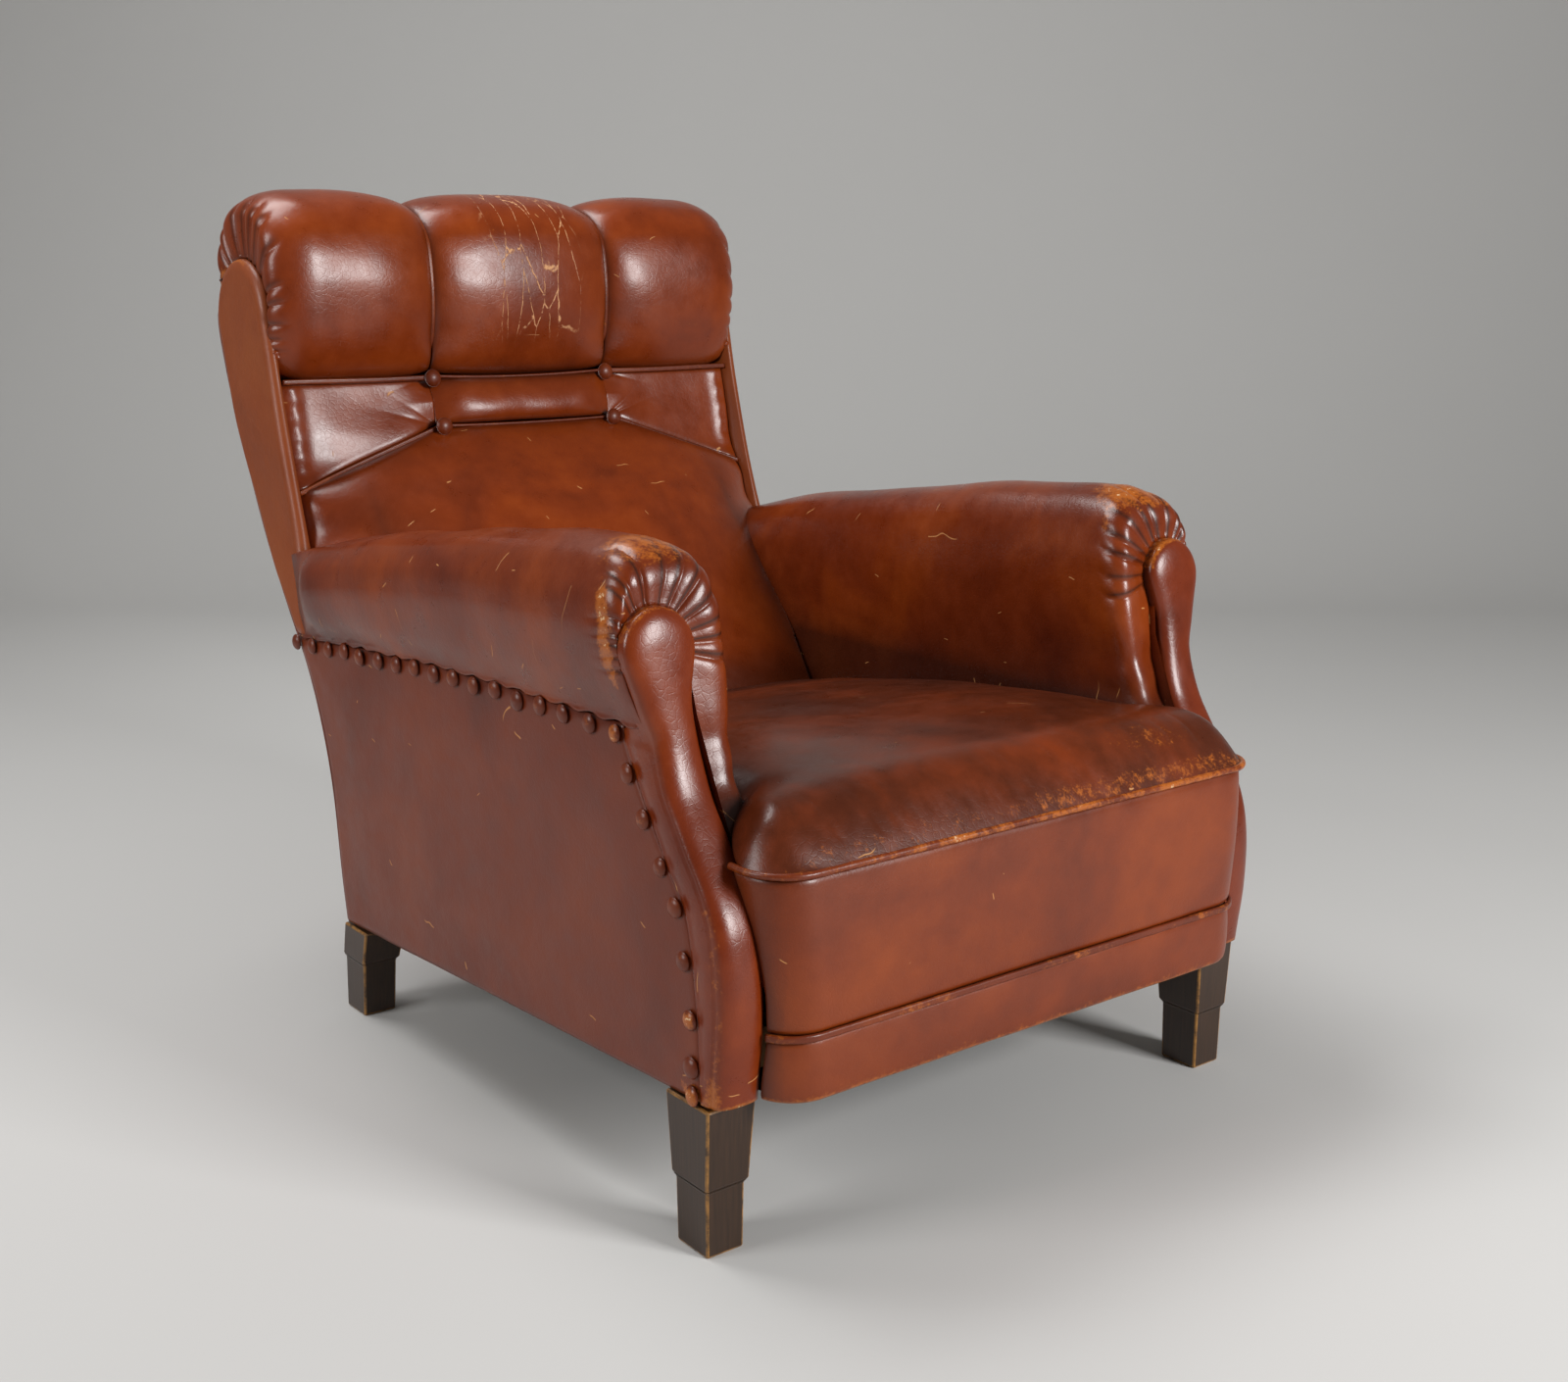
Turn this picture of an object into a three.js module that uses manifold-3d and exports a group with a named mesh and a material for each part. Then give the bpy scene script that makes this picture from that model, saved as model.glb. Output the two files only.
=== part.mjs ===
// Worn leather club chair: beech frame, coil-sprung seat, stuffed leather upholstery.
// Millimetres, +Z up, the front towards -Y, the same on both sides of X = 0.
// Heights are above the floor. Depths are measured from the front face of the front legs,
// and the finished group is moved so that the middle of its footprint is the origin.

import * as THREE from 'three';
import { mergeVertices } from 'three/addons/utils/BufferGeometryUtils.js';
import Module from 'manifold-3d';

const wasm = await Module();
wasm.setup();

// Driving dimensions
const gap = 0.5; // clearance between pieces that touch
const panelOuter = 349; // outside of the arm panels, from the centre plane
const panelThickness = 4;
const facingInner = 301; // inner edge of the arm facings
const armInner = 262; // inner face of the arms at the seat
const rollInner = 252; // innermost bulge of the arm rolls
const rollOuter = 373; // outermost bulge of the arm rolls
const armRearEnd = 817; // where the nailed edge of the arm ends
const backFacingInner = 324; // inside of the leather facings on the back
const backFacingOuter = 336;
const undersideFront = 148; // height of the upholstery's lower edge at the front
const undersideRear = 109; // and at the rear
const undersideFrontDepth = 16;
const undersideRearDepth = 725;
const legStepHeight = 65; // height of the small step round each leg
const apronFront = -57; // face of the seat front
const seatWeltHeight = 360;
const lowerWeltHeight = 211;
const seatFrontHalfWidth = 316;
const springRows = 3;
const springPitch = 168;
const springTurns = 3.5;
const springHeight = 143;
const wireRadius = 2.2;
const seamHalfWidth = 125.5; // the two upright seams of the head roll
const backHalfWidth = 322;
const neckHeight = 724; // the welt under the head roll
const buttonRadius = 11;

// Colours and finishes
const leather = { color: 0x7a3a22, roughness: 0.35, metalness: 0 };
const seatLeather = { color: 0x5e3020, roughness: 0.32, metalness: 0 };
const wornLeather = { color: 0x9a4a26, roughness: 0.4, metalness: 0 };
const stainedWood = { color: 0x2b211c, roughness: 0.5, metalness: 0 };
const beech = { color: 0xb98f63, roughness: 0.7, metalness: 0 };
const steel = { color: 0x8d8f92, roughness: 0.45, metalness: 1 };
const jute = { color: 0xa88f63, roughness: 0.95, metalness: 0 };
const blackCloth = { color: 0x1d1c1c, roughness: 0.95, metalness: 0 };

const chair = new THREE.Group();

// A smooth curve through (position, value) pairs, read at any position.
function smoothThrough(pairs) {
  const last = pairs.length - 1;
  const slopes = pairs.map((pair, i) => {
    const before = pairs[Math.max(i - 1, 0)];
    const after = pairs[Math.min(i + 1, last)];
    return (after[1] - before[1]) / (after[0] - before[0]);
  });
  return (position) => {
    let i = 0;
    while (i < last - 1 && position > pairs[i + 1][0]) {
      i += 1;
    }
    const span = pairs[i + 1][0] - pairs[i][0];
    const t = THREE.MathUtils.clamp((position - pairs[i][0]) / span, 0, 1);
    const rise = t * t * (3 - 2 * t);
    const leave = t * (1 - t) * (1 - t) * span * slopes[i];
    const arrive = t * t * (t - 1) * span * slopes[i + 1];
    return pairs[i][1] * (1 - rise) + pairs[i + 1][1] * rise + leave + arrive;
  };
}

// Depth of the arm's front face, of its nailed side edge, and of the stuffed arm behind the facing.
const armFrontFace = smoothThrough([
  [148, -22], [214, -29], [268, -29], [320, -17], [378, 22], [416, 47], [458, 61], [530, 72], [575, 78],
]);
const nailedFrontEdge = smoothThrough([
  [148, 13], [222, 16], [274, 23], [318, 34], [351, 57], [387, 82], [421, 105], [458, 127],
]);
const armPadFront = smoothThrough([
  [262, -14], [300, -8], [340, 6], [378, 34], [416, 60],
  [458, 74], [530, 86], [575, 92], [610, 104], [630, 128],
]);
const armPadRear = smoothThrough([
  [262, 590], [340, 640], [440, 715], [480, 760], [520, 805], [560, 822], [630, 830],
]);

// Along the arm: height of the nail line and of the top of the roll.
const nailLine = smoothThrough([[60, 461], [128, 460], [399, 456], [574, 447], [817, 429], [840, 427]]);
const rollTop = smoothThrough([
  [60, 630], [152, 627], [305, 616], [505, 592], [669, 570], [801, 544], [840, 536],
]);

// Depth of the chair's rear face, and of the padded back's front face in the middle and at its edge.
const rearFace = smoothThrough([
  [109, 725], [156, 733], [272, 745], [361, 774], [429, 817],
  [541, 925], [672, 1003], [764, 1033], [840, 1050],
]);
const backFrontMiddle = smoothThrough([
  [330, 597], [380, 626], [430, 661], [480, 693], [513, 716], [551, 746], [590, 782], [630, 826], [668, 866],
]);
const backFrontEdge = smoothThrough([
  [330, 618], [430, 703], [513, 788], [551, 834], [585, 846], [620, 864], [668, 872], [724, 890],
]);

function underside(depth) {
  const t = (depth - undersideFrontDepth) / (undersideRearDepth - undersideFrontDepth);
  return THREE.MathUtils.lerp(undersideFront, undersideRear, t);
}

function addPiece(name, geometry, finish, parent = chair) {
  const mesh = new THREE.Mesh(geometry, new THREE.MeshStandardMaterial({ ...finish }));
  mesh.name = name;
  parent.add(mesh);
  return mesh;
}

function mirrored(geometry) {
  const copy = geometry.index ? geometry.toNonIndexed() : geometry.clone();
  const position = copy.getAttribute('position');
  for (let corner = 0; corner < position.count; corner += 3) {
    const first = new THREE.Vector3().fromBufferAttribute(position, corner);
    const second = new THREE.Vector3().fromBufferAttribute(position, corner + 1);
    const third = new THREE.Vector3().fromBufferAttribute(position, corner + 2);
    position.setXYZ(corner, -first.x, first.y, first.z);
    position.setXYZ(corner + 1, -third.x, third.y, third.z);
    position.setXYZ(corner + 2, -second.x, second.y, second.z);
  }
  copy.deleteAttribute('normal');
  copy.deleteAttribute('uv');
  copy.computeVertexNormals();
  return copy;
}

// The geometry is the one on the +X side; its mirror image goes on the -X side.
function addPair(name, geometry, finish, parent = chair) {
  addPiece(`${name}_right`, geometry, finish, parent);
  addPiece(`${name}_left`, mirrored(geometry), finish, parent);
}

// A closed skin through rings of equal count; the two end rings are capped flat across `axis`.
function loft(rings, axis) {
  const count = rings[0].length;
  const across = ['x', 'y', 'z'].filter((name) => name !== axis);
  const corners = rings.flat();
  const indices = [];
  for (let ring = 0; ring < rings.length - 1; ring += 1) {
    for (let i = 0; i < count; i += 1) {
      const here = ring * count + i;
      const next = ring * count + ((i + 1) % count);
      indices.push(here, next, next + count, here, next + count, here + count);
    }
  }
  const flatRing = (ring) => ring.map((corner) => new THREE.Vector2(corner[across[0]], corner[across[1]]));
  const addCap = (ring, start, alongRing) => {
    const contour = flatRing(ring);
    const keep = alongRing !== THREE.ShapeUtils.isClockWise(contour);
    THREE.ShapeUtils.triangulateShape(contour, []).forEach(([a, b, c]) => {
      indices.push(start + a, start + (keep ? b : c), start + (keep ? c : b));
    });
  };
  addCap(rings[0], 0, false);
  addCap(rings[rings.length - 1], (rings.length - 1) * count, true);
  const geometry = new THREE.BufferGeometry();
  const positions = corners.flatMap((corner) => [corner.x, corner.y, corner.z]);
  geometry.setAttribute('position', new THREE.Float32BufferAttribute(positions, 3));
  geometry.setIndex(indices);
  return facingOut(geometry);
}

function signedVolume(geometry) {
  const position = geometry.getAttribute('position');
  const corner = (i) => new THREE.Vector3().fromBufferAttribute(position, geometry.index.getX(i));
  let volume = 0;
  for (let i = 0; i < geometry.index.count; i += 3) {
    volume += corner(i).dot(corner(i + 1).cross(corner(i + 2))) / 6;
  }
  return volume;
}

function facingOut(geometry) {
  if (signedVolume(geometry) < 0) {
    const order = geometry.index.array;
    for (let i = 0; i < order.length; i += 3) {
      [order[i + 1], order[i + 2]] = [order[i + 2], order[i + 1]];
    }
  }
  geometry.computeVertexNormals();
  return geometry;
}

function point(x, y, z) {
  return new THREE.Vector3(x, y, z);
}

function block(left, right, front, rear, low, high) {
  const geometry = new THREE.BoxGeometry(right - left, rear - front, high - low);
  geometry.translate((left + right) / 2, (front + rear) / 2, (low + high) / 2);
  return geometry;
}

// A piece with a rectangular section at each listed height.
function stack(levels) {
  const ring = ({ left, right, front, rear, height }) => [
    point(left, front, height), point(right, front, height),
    point(right, rear, height), point(left, rear, height),
  ];
  return loft(levels.map(ring), 'z');
}

// A flat plate: an outline in depth and height, given its thickness along X.
function sidePlate(outline, inner, outer) {
  const shape = new THREE.Shape(outline.map(([depth, height]) => new THREE.Vector2(depth, height)));
  const geometry = new THREE.ExtrudeGeometry(shape, { depth: outer - inner, bevelEnabled: false });
  const upright = new THREE.Matrix4().makeBasis(point(0, 1, 0), point(0, 0, 1), point(1, 0, 0));
  geometry.applyMatrix4(upright);
  geometry.translate(inner, 0, 0);
  return geometry;
}

function solidOf(geometry) {
  const bare = geometry.clone();
  bare.deleteAttribute('normal');
  bare.deleteAttribute('uv');
  const merged = mergeVertices(bare, 0.001);
  const mesh = new wasm.Mesh({
    numProp: 3,
    vertProperties: new Float32Array(merged.getAttribute('position').array),
    triVerts: new Uint32Array(merged.index.array),
  });
  return new wasm.Manifold(mesh);
}

function cutAway(geometry, ...tools) {
  let solid = solidOf(geometry);
  tools.forEach((tool) => {
    solid = solid.subtract(solidOf(tool));
  });
  const mesh = solid.getMesh();
  const result = new THREE.BufferGeometry();
  result.setAttribute('position', new THREE.Float32BufferAttribute(mesh.vertProperties, 3));
  result.setIndex(new THREE.Uint32BufferAttribute(mesh.triVerts, 1));
  result.computeVertexNormals();
  return result;
}

function heights(from, to, steps) {
  return Array.from({ length: steps + 1 }, (_, i) => THREE.MathUtils.lerp(from, to, i / steps));
}

// ---- Legs ----

const legInnerEdge = 308;
const legOuterEdge = 348;
const legTopHeight = underside(57) - gap;

function frontLeg() {
  return stack([
    { left: legInnerEdge, right: legOuterEdge, front: 0, rear: 47, height: 0 },
    { left: legInnerEdge - 1, right: panelOuter - 0.5, front: -1, rear: 48, height: legStepHeight },
    { left: legInnerEdge - 4, right: panelOuter + 2, front: -4, rear: 51, height: legStepHeight + 1.5 },
    { left: legInnerEdge - 9, right: panelOuter + 3, front: -8, rear: 57, height: legTopHeight },
  ]);
}

// The rear leg and the back upright are one length of timber, cut to the rake of the back.
const postDepth = 55;
const postCover = 8;

function rearPostFront(height) {
  return rearFace(height) - postCover - postDepth;
}

function rearLegPost() {
  const foot = [
    { left: legInnerEdge, right: legOuterEdge, front: 694, rear: 741, height: 0 },
    { left: legInnerEdge - 1, right: panelOuter - 0.5, front: 688, rear: 737, height: legStepHeight },
    { left: legInnerEdge - 4, right: panelOuter + 2, front: 685, rear: 739, height: legStepHeight + 1.5 },
    { left: legInnerEdge - 8, right: panelOuter + 2, front: 674, rear: 730, height: undersideRear - 1 },
  ];
  const upright = heights(undersideRear - 0.5, 834, 12).map((height) => {
    const inward = THREE.MathUtils.clamp((height - undersideRear) / 331, 0, 1) * 20;
    const rear = rearFace(height) - postCover;
    return { left: 303 - inward, right: 343 - inward, front: rear - postDepth, rear, height };
  });
  return stack([...foot, ...upright]);
}

addPair('front_leg', frontLeg(), stainedWood);
addPair('rear_leg_post', rearLegPost(), stainedWood);

// ---- Arm frames ----

const stumpInner = facingInner + 5;
const stumpOuter = panelOuter - 8;
const stumpTop = 500;
const stumpHeights = heights(legTopHeight + gap, stumpTop, 9);

function stumpLevel(height, clearance, thickness) {
  return {
    left: stumpInner - clearance,
    right: stumpOuter + clearance,
    front: armFrontFace(height) + 15 - clearance,
    rear: armFrontFace(height) + 15 + thickness,
    height,
  };
}

function armStump() {
  return stack(stumpHeights.map((height) => stumpLevel(height, 0, 47)));
}

// The space that the stump takes out of the facing, open below and behind.
function stumpRoom() {
  const levels = stumpHeights.map((height) => stumpLevel(height, gap, 110));
  const below = { ...levels[0], height: levels[0].height - 10 };
  return stack([below, ...levels]);
}

function armRail() {
  const front = armFrontFace(stumpTop) + 64;
  const rearLow = [rearPostFront(398) - 2, 398];
  const rearHigh = [rearPostFront(434) - 2, 434];
  return sidePlate([[front, 432], rearLow, rearHigh, [front, 496]], 308, 338);
}

addPair('arm_stump', armStump(), beech);
addPair('arm_rail', armRail(), beech);

// ---- Back frame ----

function crossRail(halfLength, front, rear, low, high) {
  return block(-halfLength, halfLength, front, rear, low, high);
}

const backRailHalfLength = 282;
const middleRailFront = rearPostFront(600) + 1;
addPiece('back_top_rail', crossRail(backRailHalfLength, 992, 1030, 786, 832), beech);
const middleRail = crossRail(backRailHalfLength, middleRailFront, middleRailFront + 28, 560, 600);
addPiece('back_middle_rail', middleRail, beech);

// ---- Seat frame and springing, in a deck that slopes down to the rear ----

const deck = new THREE.Group();
deck.position.set(0, undersideFrontDepth, undersideFront);
deck.rotation.x = -Math.atan2(undersideFront - undersideRear, undersideRearDepth - undersideFrontDepth);
chair.add(deck);

const railLow = 7;
const railHigh = 66;
addPiece('front_rail', crossRail(278, -54, -26, railLow, railHigh), beech, deck);
addPiece('rear_rail', crossRail(296, 668, 694, railLow, railHigh), beech, deck);
addPair('side_rail', block(311, 340, 50, 648, railLow, railHigh), beech, deck);

// Triangular corner blocks, glued and screwed across the joints.
function cornerBlock(corner, alongX, alongY) {
  const outline = new THREE.Shape([
    new THREE.Vector2(corner, 0),
    new THREE.Vector2(corner, alongY),
    new THREE.Vector2(corner - alongX, 0),
  ]);
  const geometry = new THREE.ExtrudeGeometry(outline, { depth: 36, bevelEnabled: false });
  geometry.translate(0, 0, railLow + 12);
  return geometry;
}

const frontBlock = cornerBlock(facingInner - 2, 70, 66);
frontBlock.translate(0, -17, 0);
addPair('front_corner_block', frontBlock, beech, deck);
const rearBlock = cornerBlock(296, 66, -66);
rearBlock.translate(0, 667, 0);
addPair('rear_corner_block', rearBlock, beech, deck);

// Webbing straps pass over and under each other, and are tacked under the rails.
const strapWidth = 50;
const strapThickness = 1.6;
const strapMiddle = 4.1;
const strapRise = 1.3;

function strap(length, start, crossings, firstSide) {
  const rings = [];
  const addRing = (along, height) => {
    const low = height - strapThickness / 2;
    const high = height + strapThickness / 2;
    rings.push([
      point(-strapWidth / 2, along, low), point(strapWidth / 2, along, low),
      point(strapWidth / 2, along, high), point(-strapWidth / 2, along, high),
    ]);
  };
  addRing(start, strapMiddle);
  crossings.forEach((crossing, i) => {
    const height = strapMiddle + (i % 2 === 0 ? firstSide : -firstSide) * strapRise;
    addRing(crossing - strapWidth * 0.6, height);
    addRing(crossing + strapWidth * 0.6, height);
  });
  addRing(start + length, strapMiddle);
  return loft(rings, 'y');
}

const strapColumns = [-springPitch, 0, springPitch];
const strapRows = [220, 430];
strapColumns.forEach((across, i) => {
  const geometry = strap(730, -40, strapRows, i % 2 === 0 ? 1 : -1);
  geometry.translate(across, 0, 0);
  addPiece(`webbing_long_${i + 1}`, geometry, jute, deck);
});
strapRows.forEach((along, i) => {
  const geometry = strap(620, -310, strapColumns, i % 2 === 0 ? -1 : 1);
  geometry.rotateZ(-Math.PI / 2);
  geometry.translate(0, along, 0);
  addPiece(`webbing_cross_${i + 1}`, geometry, jute, deck);
});

// An hourglass coil spring of round wire.
class SpringLine extends THREE.Curve {
  getPoint(t, target = new THREE.Vector3()) {
    const turn = t * springTurns * 2 * Math.PI;
    const waist = 28 + 18 * (2 * t - 1) ** 2;
    return target.set(waist * Math.cos(turn), waist * Math.sin(turn), t * (springHeight - 5));
  }
}

function coilSpring() {
  const angles = heights(0, 1.6 * Math.PI, 4);
  const corners = angles.map((angle) => new THREE.Vector2(Math.cos(angle), Math.sin(angle)));
  const wire = new THREE.Shape(corners.map((corner) => corner.multiplyScalar(wireRadius)));
  return new THREE.ExtrudeGeometry(wire, { steps: 30, bevelEnabled: false, extrudePath: new SpringLine() });
}

const springBase = strapMiddle + strapRise + strapThickness + 2.6;
const firstSpringDepth = 140;
for (let row = 0; row < springRows; row += 1) {
  strapColumns.forEach((across, column) => {
    const spring = addPiece(`seat_spring_${row * springRows + column + 1}`, coilSpring(), steel, deck);
    spring.position.set(across, firstSpringDepth + row * springPitch, springBase);
  });
}

const canvasHeight = springBase + springHeight;
addPiece('spring_canvas', block(-256, 256, -62, 560, canvasHeight, canvasHeight + 1.5), jute, deck);
addPiece('dust_cover', block(-296, 296, -22, 664, 0.2, 1.2), blackCloth, deck);

// ---- Arms ----

// Section of a stuffed arm, `part` of the way along it: the roll, then the inner wall down to
// the seat, with the room for the frame left open underneath.
function armSection(part, grow) {
  const low = nailLine(THREE.MathUtils.lerp(75, armRearEnd, part)) + 1;
  const rise = rollTop(THREE.MathUtils.lerp(105, 828, part)) - low;
  const bottom = underside(THREE.MathUtils.lerp(0, 700, part)) + 158;
  const at = (x, part) => [x, low + part * rise];
  return [
    [panelOuter + grow, low - grow], at(361 + grow, 0.16), at(370 + grow, 0.38), at(rollOuter + grow, 0.58),
    at(366 + grow, 0.8), at(346, 0.95 + grow / rise), at(316, 1 + grow / rise), at(282, 0.95 + grow / rise),
    at(rollInner + 13 - grow, 0.8), at(rollInner + 2 - grow, 0.58), at(rollInner - grow, 0.36),
    at(rollInner + 2 - grow, 0.12), [rollInner + 5 - grow, low - 24], [armInner - 1 - grow, low - 70],
    [armInner - grow, bottom - grow],
    [facingInner - 4 + grow, bottom - grow], [facingInner - 3, low - 60], at(facingInner - 1, 0.05),
    at(303, 0.27), at(343.5, 0.27), [panelOuter - 5.5, low - grow],
  ];
}

// The outer side of the roll runs on past the upright; the rest stops in front of it.
function armPadEnd(x, z) {
  const outside = THREE.MathUtils.clamp((x - 338) / 7, 0, 1);
  return THREE.MathUtils.lerp(armPadRear(z), armRearEnd, outside);
}

function armPad(grow) {
  const rings = heights(0, 1, 9).map((part) => armSection(part, grow).map(([x, z]) => {
    const depth = THREE.MathUtils.lerp(armPadFront(z) - grow, armPadEnd(x, z) + grow, part);
    return point(x, depth, z);
  }));
  return loft(rings, 'y');
}

// Facing of the arm front: it wraps the stump, reaches back to the nails and ends in a round knob.
const knobCentre = 333;
const knobRadius = 37;
const knobHeight = 538;
const facingInnerEdge = smoothThrough([
  [148, facingInner], [430, facingInner], [490, 304], [530, 297], [knobHeight, knobCentre - knobRadius],
]);
const facingOuterEdge = smoothThrough([
  [148, panelOuter], [457, panelOuter], [490, 358], [530, 369], [knobHeight, knobCentre + knobRadius],
]);

function facingSection(height, inner, outer, rear, grow) {
  const front = armFrontFace(height) - grow;
  const round = Math.min(9, (outer - inner) * 0.3);
  const nick = round / 3;
  return [
    point(inner - grow, rear, height), point(inner - grow, front + round, height),
    point(inner - grow + nick, front + nick, height), point(inner - grow + round, front, height),
    point(outer + grow - round, front, height), point(outer + grow - nick, front + nick, height),
    point(outer + grow, front + round, height), point(outer + grow, rear, height),
  ];
}

const facingHeights = heights(undersideFront + gap, 457, 9);

function armFacing(grow) {
  const lower = facingHeights.map((height) => (
    facingSection(
      height, facingInnerEdge(height), facingOuterEdge(height), nailedFrontEdge(height) + grow, grow,
    )
  ));
  lower[0].forEach((corner) => {
    corner.z -= grow;
  });
  const neck = heights(458, knobHeight, 3).map((height) => (
    facingSection(height, facingInnerEdge(height), facingOuterEdge(height), armPadFront(height) - 1.2, grow)
  ));
  const knob = [0.3, 0.6, 0.85, 0.97].map((part) => {
    const height = knobHeight + part * knobRadius;
    const half = knobRadius * Math.sqrt(1 - part * part);
    return facingSection(height, knobCentre - half, knobCentre + half, armPadFront(height) - 1.2, grow);
  });
  const whole = loft([...lower, ...neck, ...knob], 'z');
  return grow > 0 ? whole : cutAway(whole, stumpRoom());
}

const rearHeights = heights(undersideRear + 2, 836, 14);

// Leather outside panel of the arm, inside the nail line.
function sidePanel() {
  const frontEdge = facingHeights.map((z) => [nailedFrontEdge(z) + gap, z]);
  const topEdge = heights(150, armRearEnd - 1, 4).map((depth) => [depth, nailLine(depth) - gap]);
  const rearEdge = rearHeights.filter((z) => z < 425).reverse().map((z) => [rearFace(z) - gap, z]);
  return sidePlate([...frontEdge, ...topEdge, ...rearEdge], panelOuter - panelThickness, panelOuter);
}

addPair('arm_pad', armPad(0), leather);
addPair('arm_facing', armFacing(0), wornLeather);
addPair('side_panel', sidePanel(), leather);

// The same shapes a little larger, to cut clearance round the arms.
const armRooms = [armFacing(gap), armPad(3)].flatMap((room) => [room, mirrored(room)]);

// ---- Seat ----

// Half of the seat's plan outline round one front corner, from the front centre to the rear.
function seatOutline(halfWidth, front, radius, inset) {
  return heights(-Math.PI / 2, 0, 5).map((angle) => [
    halfWidth - radius + (radius - inset) * Math.cos(angle),
    front + radius + (radius - inset) * Math.sin(angle),
  ]);
}

// A U-shaped band in plan, round the front of the seat and back to the arm facings.
function frontBand(levels, thickness, rear, radius = 46) {
  const rings = levels.map(({ halfWidth, front, height }) => {
    const outer = seatOutline(halfWidth, front, radius, 0);
    const inner = seatOutline(halfWidth, front, radius, thickness);
    const rightOuter = [...outer, [halfWidth, rear]];
    const rightInner = [...inner, [halfWidth - thickness, rear]];
    const rightSide = [...rightOuter, ...rightInner.reverse()];
    const leftSide = rightSide.map(([x, y]) => [-x, y]).reverse();
    return [...rightSide, ...leftSide].map(([x, y]) => point(x, y, height));
  });
  return loft(rings, 'z');
}

function apron() {
  const levels = [
    { halfWidth: seatFrontHalfWidth - 8, front: apronFront, height: lowerWeltHeight + 4 },
    { halfWidth: seatFrontHalfWidth - 2, front: apronFront, height: seatWeltHeight - 4 },
  ];
  return cutAway(frontBand(levels, 13, 12), ...armRooms);
}

function bottomBand() {
  const levels = [
    { halfWidth: seatFrontHalfWidth - 9, front: apronFront + 1, height: 151 },
    { halfWidth: seatFrontHalfWidth - 9, front: apronFront + 1, height: lowerWeltHeight - 4 },
  ];
  return cutAway(frontBand(levels, 9, -4), ...armRooms);
}

function welt(halfWidth, front, rear, height, radius) {
  const levels = [
    { halfWidth: halfWidth - radius * 0.4, front: front + radius * 0.4, height: height - radius },
    { halfWidth, front, height: height - radius * 0.4 },
    { halfWidth, front, height: height + radius * 0.4 },
    { halfWidth: halfWidth - radius * 0.4, front: front + radius * 0.4, height: height + radius },
  ];
  return cutAway(frontBand(levels, radius * 2, rear), ...armRooms);
}

// The stuffed seat: upright sides, a crowned top, and rounded front corners.
const seatSideHeight = smoothThrough([
  [-57, 361], [-40, 379], [-12, 396], [40, 406], [150, 403], [304, 387], [478, 363], [612, 341],
]);
const seatCrown = smoothThrough([[-57, 1], [-40, 6], [0, 12], [120, 18], [350, 17], [500, 10], [612, 3]]);
const seatHalfWidth = smoothThrough([[-57, 268], [-52, 290], [-38, 306], [-15, 315], [10, 316], [40, 290]]);

function seatCushion() {
  const rings = [-57, -50, -36, -12, 20, 60, 160, 280, 400, 500, 560, 592].map((depth) => {
    const half = depth < 40 ? seatHalfWidth(depth) : 290;
    const bottom = underside(depth) + springBase + springHeight + 3;
    const side = seatSideHeight(depth);
    const crown = heights(-1, 1, 10).map((part) => (
      point(-part * half, depth, side + seatCrown(depth) * (1 - part ** 4))
    ));
    return [point(-half, depth, bottom), point(half, depth, bottom), ...crown];
  });
  return cutAway(loft(rings, 'y'), ...armRooms, apronRoom());
}

// Below the welt the stuffing stops at the back of the apron.
function apronRoom() {
  const spread = 12;
  const levels = [260, seatWeltHeight + 4].map((height) => (
    { halfWidth: seatFrontHalfWidth + spread, front: apronFront - spread, height }
  ));
  return frontBand(levels, spread + 20, 20, 46 + spread);
}

addPiece('seat_cushion', seatCushion(), seatLeather);
addPiece('seat_apron', apron(), leather);
addPiece('bottom_band', bottomBand(), leather);
addPiece('seat_welt', welt(seatFrontHalfWidth + 1, apronFront - 3, 12, seatWeltHeight, 3.2), wornLeather);
addPiece('lower_welt', welt(seatFrontHalfWidth - 7, apronFront - 2, -4, lowerWeltHeight, 3), wornLeather);

// ---- Back upholstery ----

// Lower back pad: convex, with a top edge that falls from the two lower buttons to the sides.
function lowerBackTopAt(x) {
  return x <= seamHalfWidth ? 666 : THREE.MathUtils.mapLinear(x, seamHalfWidth, backHalfWidth, 666, 598);
}

function backFront(x, z) {
  const toEdge = Math.min(Math.abs(x) / backHalfWidth, 1) ** 4;
  return THREE.MathUtils.lerp(backFrontMiddle(z), backFrontEdge(z), toEdge);
}

// Leather-covered buttons pull in the four corners of the neck, each in a pocket of its own.
const buttons = [
  { name: 'button_upper_left', across: -126, depth: 889, height: neckHeight + 1 },
  { name: 'button_upper_right', across: 126, depth: 889, height: neckHeight + 1 },
  { name: 'button_lower_left', across: -124, depth: 867, height: 667 },
  { name: 'button_lower_right', across: 124, depth: 867, height: 667 },
];
const buttonPockets = buttons.map(({ across, depth, height }) => {
  const reach = buttonRadius + 2;
  return block(across - reach, across + reach, depth - 40, depth + 4, height - reach, height + reach);
});

function lowerBack() {
  const columns = [[0, 332], [70, 332], [126, 332], [190, 332], [230, 332], [256, 334], [266, 548], [300, 556]];
  const right = [...columns, [backHalfWidth, 560]];
  const left = right.slice(1).reverse().map(([x, low]) => [-x, low]);
  const rings = [...left, ...right].map(([x, low]) => {
    const top = lowerBackTopAt(Math.abs(x));
    const front = heights(low, top, 7).map((z) => point(x, backFront(x, z), z));
    const rear = heights(top, low, 3).map((z) => point(x, rearPostFront(z) - 3, z));
    return [...front, ...rear];
  });
  return cutAway(loft(rings, 'x'), ...armRooms, ...buttonPockets);
}

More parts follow.
